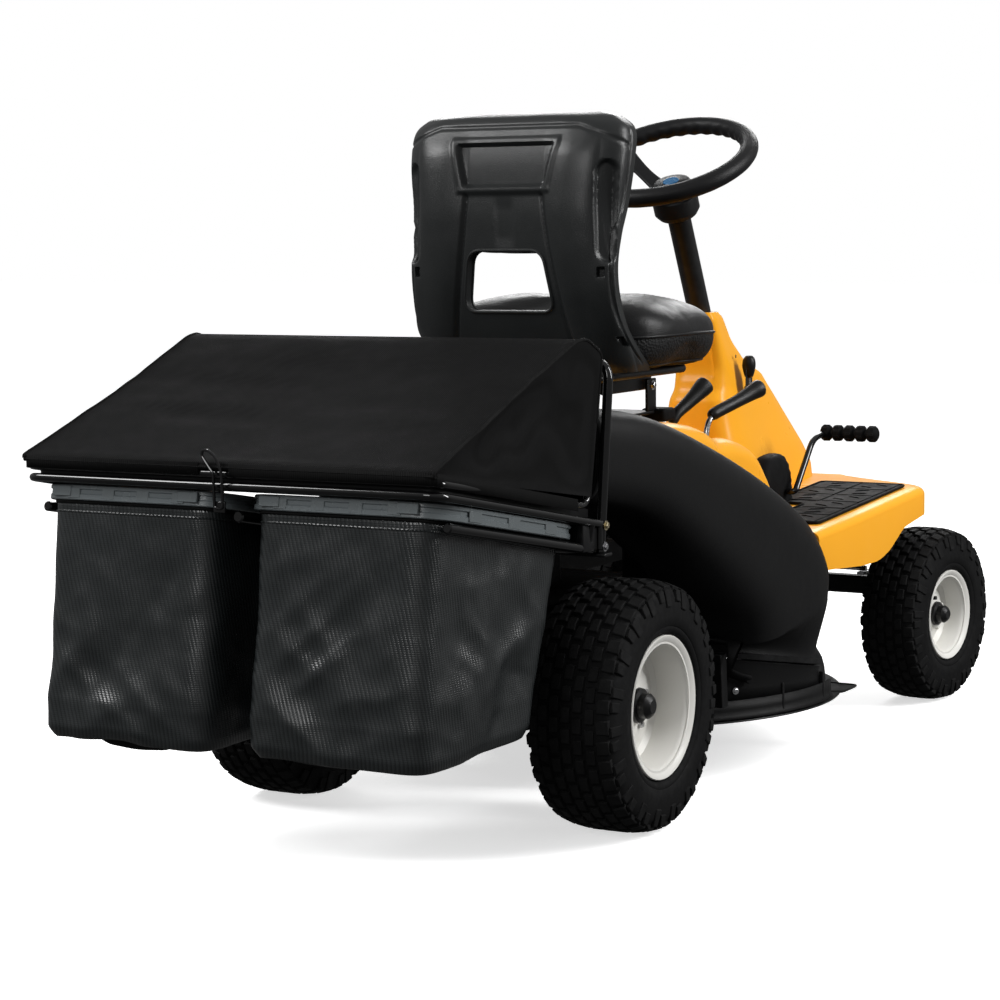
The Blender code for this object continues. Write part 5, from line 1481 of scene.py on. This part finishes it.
def make_adapter():
    """Moulded adapter: curved outer wall, end blocks, apron to the deck's lip and its latch."""
    tight = even(squircle(200, 0.40), 110)
    rings = [adapter_ring(tight, 0.1400, 0.1400, 0.0), adapter_ring(tight, 0.165, 0.150, 0.0),
             adapter_ring(tight, 0.2125, 0.1590, 0.0008), adapter_ring(tight, 0.2195, 0.1640, -0.0010),
             adapter_ring(tight, 0.222, 0.165, 0.0020)]
    duct = loft("adapter", rings, "chute", angle=30.0)
    bake(thicken(duct, 0.0035))
    finish_piece(duct, "deck", nodes=("chute_adapter",))
    apron = []
    span = [math.radians(a) for a in range(-46, 9, 2)]
    for z, r in ((0.1415, ADAPTER_RADIUS - 0.0005), (0.1250, ADAPTER_RADIUS - 0.0005),
                 (0.1140, ADAPTER_RADIUS + 0.0010), (0.1092, ADAPTER_RADIUS + 0.0060)):
        apron.append([at(r * math.cos(a), DECK_Y + r * math.sin(a), z) for a in span])
    skirt = loft("adapter_apron", apron, "chute", cyclic=False, angle=40.0)
    finish_piece(bake(thicken(skirt, 0.003, 1.0)), "deck")
    bm = bmesh.new()
    for y in (0.350, 0.480, 0.610):
        x = adapter_x(y)
        place = (Matrix.Translation(at(x - 0.001, y, 0.135))
                 @ Matrix.Rotation(math.atan2(y - DECK_Y, x), 4, "Z"))
        block(bm, (0.010, 0.006, 0.052), place, 0.8)
    for y, x, width in ((0.3370, 0.251, 0.152), (0.6380, 0.290, 0.130)):
        block(bm, (width, 0.024, 0.090), Matrix.Translation(at(x, y, 0.183)), 0.96)
    ribs = bevel(add("adapter_ribs", bm, "chute"), 0.0015, 2)
    finish_piece(ribs, "deck")
    strap = [at(adapter_x(y) + 0.0105, y, z) for y, z in ((0.368, 0.191), (0.375, 0.187),
                                                         (0.383, 0.183), (0.391, 0.180),
                                                         (0.399, 0.177))]
    latch = sweep("latch_strap", strap, 0.0085, "rubber", 14, flatten=(1.0, 0.45))
    finish_piece(latch, "chute_latch", nodes=("chute_latch",))
    pull = lathe("latch_pull", [(0.0, 0.004), (0.0065, 0.003), (0.0075, 0.0), (0.0065, -0.003),
                                (0.0, -0.004)], "rubber", 24,
                 matrix=facing(strap[-1], (0.85, -0.5, 0)))
    finish_piece(pull, "chute_latch")
    bolt("adapter_bolt", at(adapter_x(0.386), 0.386, 0.158), (0.83, -0.55, 0), 0.0042, "deck",
         "steel")


def make_deck():
    """Round pressed shell with a rolled lip, and the flat corner at its front right."""
    profile = [(0.018, 0.1990), (0.150, 0.1990), (0.165, 0.1985), (0.172, 0.1960), (0.240, 0.1960),
               (0.247, 0.1985), (0.262, 0.1990), (0.300, 0.1988), (0.322, 0.1950),
               (0.342, 0.1860), (0.355, 0.1740), (0.3630, 0.1600), (0.3670, 0.1450),
               (0.3695, 0.1180), (0.3720, 0.1110), (0.3770, 0.1085), (0.3930, 0.1085),
               (0.3965, 0.1078), (0.3970, 0.1064), (0.3965, 0.1050), (0.3900, 0.1046),
               (0.3700, 0.1046), (0.3660, 0.1060), (0.3640, 0.1180), (0.3620, 0.1490),
               (0.3540, 0.1660), (0.3420, 0.1800), (0.3220, 0.1905), (0.3000, 0.1950),
               (0.018, 0.1950)]
    shell = lathe("deck_bowl", profile, "frame", 144, closed=True,
                  matrix=Matrix.Translation(at(0, DECK_Y, 0)), angle=35.0)
    cut_box(shell, (0.222, 0.322, 0.161), at(0.340, 0.485, 0.220))
    sharpen(shell, 35)
    finish_piece(shell, "deck", nodes=("deck_shell",))
    points = rounded([(0.300, 0.690, 0), (0.352, 0.690, 0), (0.385, 0.716, 0),
                      (0.385, 0.785, 0), (0.262, 0.785, 0), (0.262, 0.740, 0)], 0.012, 5,
                     cyclic=True)
    rows = [[at(p.x, p.y, z) for p in points] for z in (0.1048, 0.1083)]
    tip = loft("deck_corner", rows, "frame", caps=(True, True), angle=30.0)
    finish_piece(bevel(tip, 0.0010, 2), "deck")
    rim = sweep("deck_corner_roll", [at(p.x, p.y, 0.1082) for p in points], 0.0021, "frame", 10,
                cyclic=True)
    finish_piece(rim, "deck")


# ---------------------------------------------------------------- seat
SEAT_SHELL = ((0.7012, 0.235, 0.186, 0.110), (0.718, 0.224, 0.194, 0.092),
              (0.740, 0.214, 0.197, 0.068), (0.780, 0.200, 0.197, 0.040), (0.830, 0.188, 0.195, 0.030),
              (0.880, 0.181, 0.194, 0.032), (0.930, 0.177, 0.195, 0.048),
              (0.980, 0.176, 0.197, 0.070), (1.050, 0.182, 0.204, 0.074),
              (1.100, 0.194, 0.202, 0.070), (1.122, 0.206, 0.180, 0.056),
              (1.131, 0.222, 0.157, 0.035))


def step_in(value, low, high, soft):
    """1 between low and high, 0 outside, with soft edges."""
    rise = min(1.0, max(0.0, (value - low) / soft + 0.5))
    fall = min(1.0, max(0.0, (high - value) / soft + 0.5))
    rise, fall = rise * rise * (3 - 2 * rise), fall * fall * (3 - 2 * fall)
    return rise * fall


def seat_relief(s, z, reach):
    """How deep the shell's back is pressed in, s metres round from the middle."""
    a = abs(s)
    deep = 0.0
    half = 0.074 + 0.016 * min(1.0, max(0.0, (z - 1.012) / 0.068))
    inside = step_in(z, 1.012, 1.080, 0.008) * step_in(a, -1.0, half, 0.008)
    deep += 0.0062 * inside
    deep -= 0.0030 * (step_in(z, 1.001, 1.091, 0.007) * step_in(a, -1.0, half + 0.012, 0.007)
                      - inside)
    line = 0.072 + 0.046 * ((1.000 - z) / 0.28) ** 1.3 if z < 1.000 else 0.072
    below = step_in(z, 0.60, 0.998, 0.008)
    deep += 0.0030 * below * step_in(a, line - 0.0035, line + 0.0035, 0.006)
    deep += 0.0022 * below * step_in(a, -1.0, line, 0.004)
    deep += 0.0028 * step_in(z, 0.915, 0.985, 0.03) * step_in(a, -1.0, 0.016, 0.016)
    lobe = max(0.0, 1 - ((a - (line + 0.050)) / 0.050) ** 2)
    deep -= 0.0075 * lobe * step_in(z, 0.66, 1.085, 0.05)
    oblong = math.hypot(max(0.0, abs(z - 0.968) - 0.062) / 0.020, (a - 0.186) / 0.018)
    deep += 0.0100 * step_in(oblong, -1.0, 1.0, 0.45)
    deep += 0.0030 * step_in(a, reach - 0.0230, reach - 0.0165, 0.005) * step_in(z, 0.72, 1.10, 0.02)
    top = 1.110 - 0.35 * max(0.0, a - 0.13)
    deep += 0.0020 * step_in(z, top - 0.0045, top + 0.0015, 0.005) * step_in(a, -1.0, reach - 0.02, 0.01)
    for low, inset in ((0.862, 0.036), (0.748, 0.034)):
        deep += 0.0110 * step_in(z, low, low + 0.014, 0.002) * step_in(
            a, reach - inset - 0.005, reach - inset + 0.006, 0.002)
    return deep


def make_seat_shell():
    """Moulded seat back with a window; SEAT_SHELL holds height, rear y, half width and wing."""
    levels = []
    z = SEAT_SHELL[0][0]
    table = np.array(smooth_rows(SEAT_SHELL, 24))
    while z < SEAT_SHELL[-1][0]:
        levels.append([z] + [np.interp(z, table[:, 0], table[:, k]) for k in (1, 2, 3)])
        z += 0.0025 if z < 1.09 else 0.0015
    levels.append(list(SEAT_SHELL[-1]))
    columns = 221
    rings = []
    for z, rear, half, wing in levels:
        path = smooth_rows([(0.0, rear), (half - 0.120, rear), (half - 0.075, rear + 0.0005),
                            (half - 0.035, rear + 0.007), (half - 0.004, rear + wing * 0.45),
                            (half, rear + wing)], 8)
        path = np.array(path)
        along = np.concatenate([[0.0], np.cumsum(np.linalg.norm(np.diff(path, axis=0), axis=1))])
        reach = along[-1]
        crown = min(1.0, max(0.02, (1.1318 - z) / 0.010))
        thin = math.sqrt(1 - (1 - crown) ** 2)
        outer, inner = [], []
        for i in range(columns):
            s = -reach + 2 * reach * i / (columns - 1)
            x, y = (np.interp(abs(s), along, path[:, k]) for k in (0, 1))
            x2, y2 = (np.interp(min(reach, abs(s) + 0.002), along, path[:, k]) for k in (0, 1))
            x1, y1 = (np.interp(max(0.0, abs(s) - 0.002), along, path[:, k]) for k in (0, 1))
            d = math.hypot(x2 - x1, y2 - y1) or 1.0
            nx, ny = -(y2 - y1) / d, (x2 - x1) / d
            edge = max(0.0, abs(s) - (reach - 0.012)) / 0.012
            thick = (0.0225 - 0.0090 * min(1.0, abs(s) / reach) ** 2) * (1 - 0.85 * edge ** 2) * thin
            middle_line = 0.0115 * (1 - thin)
            deep = seat_relief(s, z, reach) * thin + middle_line
            sign = 1 if s >= 0 else -1
            outer.append(at(sign * (x + nx * deep), y + ny * deep, z))
            deep = middle_line + thick
            inner.append(at(sign * (x + nx * deep), y + ny * deep, z))
        rings.append(outer + inner[::-1])
    shell = loft("seat_back_shell", rings, "seat", caps=(True, True), angle=32.0)
    outline = rounded([(-0.0860, 0.8030, 0), (0.0860, 0.8030, 0), (0.0700, 0.9060, 0),
                       (-0.0700, 0.9060, 0)], 0.024, 8, cyclic=True)
    tool = loft("window", [[at(p.x, y, p.y) for p in outline] for y in (0.12, 0.28)], "seat",
                caps=(True, True))
    cut(shell, tool)
    sharpen(shell, 32)
    finish_piece(shell, "seat", nodes=("seat_shell",))
    for k, y in enumerate((0.0015, 0.0230)):
        lip = []
        for p in outline:
            rear = np.interp(p.y, table[:, 0], table[:, 1])
            lip.append(at(p.x, rear + y, p.y))
        edge = sweep(f"seat_window_lip_{k}", lip, 0.0026, "seat", 10, cyclic=True)
        finish_piece(edge, "seat")


def inflate(ob, voxel, pressure, cap, floor_axis=None, floor_value=None):
    """Blow the pad up as cloth, keep each point within cap of where it began, and apply."""
    bpy.context.view_layer.update()
    scene = bpy.context.scene
    remesh = ob.modifiers.new("voxels", "REMESH")
    remesh.mode = "VOXEL"
    remesh.voxel_size = voxel
    bake(ob)
    start = np.array([v.co for v in ob.data.vertices])
    cloth = ob.modifiers.new("cloth", "CLOTH")
    cloth.settings.use_pressure = True
    cloth.settings.uniform_pressure_force = pressure
    cloth.settings.effector_weights.gravity = 0.0
    cloth.settings.quality = 5
    cloth.settings.tension_stiffness = 12
    cloth.settings.bending_stiffness = 4.0
    cloth.point_cache.frame_start = 1
    cloth.point_cache.frame_end = 20
    for number in range(1, 21):
        scene.frame_set(number)
    bake(ob)
    scene.frame_set(1)
    moved = np.array([v.co for v in ob.data.vertices])
    shift = moved - start
    length = np.linalg.norm(shift, axis=1, keepdims=True)
    shift *= np.minimum(1.0, cap / np.maximum(length, 1e-9))
    placed = start + shift
    if floor_axis is not None:
        placed[:, floor_axis] = np.maximum(placed[:, floor_axis], floor_value)
    ob.data.vertices.foreach_set("co", placed.astype(np.float32).ravel())
    ob.data.update()
    smooth = ob.modifiers.new("smooth", "SMOOTH")
    smooth.factor = 0.5
    smooth.iterations = 16
    ob.modifiers.new("subdivide", "SUBSURF").levels = 1
    bake(ob)
    ob.data.shade_smooth()
    return ob


PAD_Y, PAD_LENGTH, PAD_WIDTH, WELT_Z = 0.452, 0.178, 0.212, 0.7595


def welt_drop(b):
    """How far the seat pad's welt dips at b, which runs from -1 behind to 1 in front."""
    return 0.010 * max(0.0, b) ** 2 + 0.004 * max(0.0, -b) ** 2


def make_seat_cushion():
    """Crowned vinyl pad over a textured boxed band, with a welt between them."""
    outline = even(squircle(160, 0.50), 96)
    levels = ((0.84, 0.7011), (0.92, 0.7070), (0.972, 0.7200), (1.0, 0.7400), (1.006, 0.7550),
              (0.998, 0.7595), (1.006, 0.7650), (0.994, 0.7800), (0.950, 0.7940), (0.870, 0.8060),
              (0.720, 0.8140), (0.480, 0.8175), (0.240, 0.8170))
    rings = []
    for scale, z in levels:
        ring = []
        for a, b in outline:
            y = PAD_Y + b * PAD_LENGTH * scale
            x = a * PAD_WIDTH * scale
            dip = 0.0
            if z > 0.77:
                dip = 0.014 * max(0.0, b) ** 2 + 0.006 * max(0.0, 1 - abs(x) / 0.08)
                dip -= 0.004 * max(0.0, -b) ** 2
            elif z > 0.72:
                dip = welt_drop(b)
            ring.append(at(x, y, z - dip))
        rings.append(ring)
    pad = loft("seat_pad", rings, "vinyl", caps=(True, True), angle=60.0)
    inflate(pad, 0.005, 3.0, 0.010, 2, 0.7011)
    pad.data.materials.append(M["band"])
    for face in pad.data.polygons:
        b = (face.center.y - AXLE_Y - PAD_Y) / PAD_LENGTH
        face.material_index = 1 if face.center.z < WELT_Z - welt_drop(b) else 0
    finish_piece(pad, "seat", "vinyl", nodes=("seat_cushion",))
    hull = BVHTree.FromObject(pad, bpy.context.evaluated_depsgraph_get())
    for name, z, radius in (("seat_pad_welt", 0.7590, 0.0026),
                            ("seat_pad_lower_welt", 0.7090, 0.0020)):
        path = []
        for a in turns(180):
            out = Vector((math.cos(a), math.sin(a), 0))
            drop = welt_drop(math.sin(a)) if z > 0.72 else 0.0
            hit = hull.ray_cast(at(0, PAD_Y, z - drop) + out * 0.5, -out)[0]
            if hit is not None:
                path.append(hit + out * radius * 0.25)
        finish_piece(sweep(name, path, radius, "vinyl", 8, cyclic=True), "seat")


def make_back_cushion():
    """Thin vinyl pad on the seat back, with two welts."""
    outline = even(squircle(160, 0.55), 88)
    levels = ((0.93, 0.0005), (0.985, 0.0060), (0.985, 0.0180), (0.955, 0.0270), (0.80, 0.0340),
              (0.50, 0.0370), (0.20, 0.0370))
    rings = []
    for scale, depth in levels:
        rings.append([at(a * 0.140 * scale, 0.2100 + depth + 0.018 * abs(b * scale) ** 3,
                         1.000 + b * 0.106 * scale) for a, b in outline])
    pad = loft("back_pad", rings, "vinyl", caps=(True, True), angle=60.0)
    inflate(pad, 0.005, 4.0, 0.006, 1, 0.2070 + AXLE_Y)
    finish_piece(pad, "seat", "vinyl", nodes=("back_cushion",))
    hull = BVHTree.FromObject(pad, bpy.context.evaluated_depsgraph_get())
    for k, scale in enumerate((0.93, 0.60)):
        path = []
        for a, b in even(squircle(160, 0.6), 140):
            start = at(a * 0.140 * scale, 0.45, 1.000 + b * 0.106 * scale)
            hit = hull.ray_cast(start, Vector((0, -1, 0)))[0]
            if hit is not None:
                path.append(hit + Vector((0, 0.0004, 0)))
        finish_piece(sweep(f"back_pad_welt_{k}", path, 0.0024 if k == 0 else 0.0014, "vinyl", 8,
                           cyclic=True), "seat")


def make_seat_mount():
    """The seat's tray and arms, and the plate and ears that it tips on."""
    slab("seat_tray", (-0.150, 0.150), (0.235, 0.566), (0.6845, 0.7004), 0.0075, "black", "seat",
         ("seat_pan",), 4)
    for side, tag in SIDES:
        slab(f"seat_arm_{tag}", across(side, 0.0870, 0.0960), (0.350, 0.534), (0.656, 0.686),
             0.0030, "frame", "seat")
        slab(f"seat_hinge_ear_{tag}", across(side, 0.0987, 0.1043), (0.500, 0.535),
             (0.6185, 0.676), 0.0020, "frame", "chassis")
        bolt(f"seat_hinge_bolt_{tag}", at(side * 0.1043, 0.520, 0.664), (side, 0, 0), 0.0060,
             "chassis", "steel")
    slab("seat_mount_plate", (-0.105, 0.105), (0.240, 0.536), (0.6130, 0.6185), 0.0022, "frame",
         "chassis", ("seat_base",))


# ---------------------------------------------------------------- engine and chassis
def make_engine():
    """Engine case, finned cylinder and shroud, with its muffler and fuel tank."""
    slab("engine_case", (-0.112, 0.110), (-0.092, 0.172), (0.3514, 0.455), 0.014, "cast", "chassis",
         ("engine_block",), 4)
    for k in range(7):
        z = 0.381 + 0.0105 * k
        slab(f"cylinder_fin_{k}", (-0.060, 0.060), (-0.120, -0.086), (z, z + 0.0040), 0.0012,
             "cast", "chassis", segments=1)
    slab("cylinder_barrel", (-0.046, 0.046), (-0.114, -0.080), (0.376, 0.449), 0.008, "cast",
         "chassis")
    centre = Matrix.Translation(at(0.022, 0.060, 0.0))
    cover = [(0.0, 0.5735), (0.020, 0.5745), (0.043, 0.5745), (0.060, 0.5700), (0.084, 0.5590),
             (0.096, 0.5460), (0.102, 0.5290), (0.1035, 0.5000), (0.1040, 0.4700),
             (0.1040, 0.4556), (0.0, 0.4556)]
    finish_piece(lathe("engine_cover", cover, "black", 80, matrix=centre), "chassis",
                 nodes=("engine_shroud",))
    # The vent bars are painted shade: a near-black that stands for the dark inside the vent.
    bm = bmesh.new()
    for a in turns(30):
        spot = (centre @ Matrix.Rotation(a, 4, "Z")
                @ Matrix.Translation((0.062, 0.0, 0.5692)) @ Matrix.Rotation(0.38, 4, "Y"))
        block(bm, (0.036, 0.0042, 0.0030), spot, 0.9)
    grille = bevel(add("engine_cover_grille", bm, "vent_shade"), 0.0006, 1)
    finish_piece(grille, "chassis")
    slab("exhaust_box", (-0.186, -0.1145), (-0.075, 0.075), (0.356, 0.436), 0.018, "muffler",
         "chassis", ("muffler",), 5)
    for k in range(5):
        y = -0.045 + 0.0225 * k
        slab(f"exhaust_louvre_{k}", (-0.1885, -0.1830), (y, y + 0.010), (0.376, 0.416), 0.0016,
             "muffler", "chassis", segments=1)
    pipe = sweep("exhaust_pipe", [at(-0.150, y, 0.396) for y in (-0.060, -0.085, -0.110)], 0.0120,
                 "muffler", 24)
    finish_piece(pipe, "chassis")
    slab("petrol_tank", (-0.205, -0.095), (-0.095, 0.165), (0.456, 0.552), 0.022, "black", "chassis",
         ("fuel_tank",), 6)
    seam = [at(x, y, 0.508) for x, y in ((-0.205, -0.075), (-0.205, 0.145), (-0.185, 0.165),
                                         (-0.115, 0.165), (-0.095, 0.145), (-0.095, -0.075),
                                         (-0.115, -0.095), (-0.185, -0.095))]
    finish_piece(sweep("petrol_tank_seam", rounded(seam, 0.012, 4, cyclic=True), 0.0018, "black",
                       8, cyclic=True), "chassis")
    spot = Matrix.Translation(at(-0.150, 0.100, 0.0))
    finish_piece(lathe("petrol_cap", [(0.0, 0.5725), (0.0190, 0.5725), (0.0218, 0.5705),
                                      (0.0222, 0.5530), (0.0, 0.5530)], "black", 48, matrix=spot),
                 "fuel_cap", nodes=("fuel_cap",))
    bm = bmesh.new()
    for a in turns(24):
        block(bm, (0.0030, 0.0030, 0.0140), spot @ Matrix.Rotation(a, 4, "Z")
              @ Matrix.Translation((0.0224, 0, 0.5620)), 0.9)
    finish_piece(bevel(add("petrol_cap_grip", bm, "black"), 0.0005, 1), "fuel_cap")
    neck = lathe("petrol_neck", [(0.0, 0.5526), (0.0265, 0.5526), (0.0270, 0.5500),
                                 (0.0, 0.5500)], "black", 40, matrix=spot)
    finish_piece(neck, "chassis")


def make_transmission():
    """Ribbed transaxle case with its bolts and axle tube."""
    slab("gear_case", (-0.095, 0.095), (-0.090, 0.070), (0.135, 0.265), 0.018, "cast", "chassis",
         ("transaxle",), 5)
    tube = sweep("axle_tube", [at(x, 0, 0.199) for x in (-0.1065, -0.05, 0.05, 0.1065)], 0.0300,
                 "cast", 48)
    finish_piece(tube, "chassis")
    for side, tag in SIDES:
        for k, a in enumerate(turns(6, 0.5)):
            place = at(side * 0.0952, 0.046 * math.cos(a), 0.199 + 0.046 * math.sin(a))
            bolt(f"gear_case_bolt_{tag}_{k}", place, (side, 0, 0), 0.0045, "chassis", "steel")
    for k in range(8):
        y = -0.072 + 0.018 * k
        slab(f"gear_case_rib_{k}", (-0.060, 0.060), (y, y + 0.0045), (0.128, 0.138), 0.0012, "cast",
             "chassis", segments=1)


def make_bracket():
    """The plate, legs and braces that carry the collector."""
    slab("bracket_plate", (-0.362, 0.362), (-0.168, -0.142), (0.4530, 0.4590), 0.0022, "frame",
         "chassis", ("bagger_bracket",))
    for side, tag in SIDES:
        slab(f"bracket_leg_{tag}", across(side, 0.116, 0.144), (-0.157, -0.143),
             (0.3514, 0.4530), 0.0030, "frame", "chassis")
        top, foot = at(side * 0.225, -0.150, 0.4525), at(side * 0.180, -0.100, 0.3530)
        brace = sweep(f"bracket_brace_{tag}", [top.lerp(foot, k / 6) for k in range(7)], 0.0060,
                      "steel", 20)
        finish_piece(brace, "chassis")
        bolt(f"bracket_bolt_{tag}", at(side * 0.300, -0.155, 0.4592), (0, 0, 1), 0.0060, "chassis",
             "zinc")


CARRIED = {"chassis_frame": "frame", "drive_belt": "rubber", "deck_belt": "rubber",
           "crank_pulley": "cast", "transaxle_pulley": "cast", "steering_shaft": "steel",
           "steering_sector": "steel", "front_axle": "frame", "tie_rod": "steel",
           "spindle_left": "steel", "spindle_right": "steel", "blade_spindle": "cast",
           "blade": "steel"}


def dress_carried():
    """Better materials for the CAD pieces that stay as they are."""
    for name, material in CARRIED.items():
        node = frame["nodes"][name]
        for place in node.material_slots:
            place.material = M[material]


make_materials()
look_from()
make_studio()
dress_carried()
make_wheels()
make_engine()
make_transmission()
make_bracket()
make_console()
make_floor_pan()
make_tower()
make_mats()
make_boot()
make_steering_wheel()
make_pedals()
make_levers()
make_chute()
make_adapter()
make_deck()
make_seat_mount()
make_seat_shell()
make_seat_cushion()
make_back_cushion()
make_support()
make_support_corners()
make_hoop_and_posts()
hood, hood_edges = make_hood()
finish_piece(hood, "hood", nodes=("hood_cover",))
hood_piping = make_piping(hood_edges)
for piping in hood_piping:
    finish_piece(piping, "hood")
make_latch()
for bag_side, bag_tag in SIDES:
    make_bag_rim(bag_side, bag_tag)
    bag = make_bag(bag_side, bag_tag)
make_strap(*SIDES[0])

bpy.context.view_layer.update()
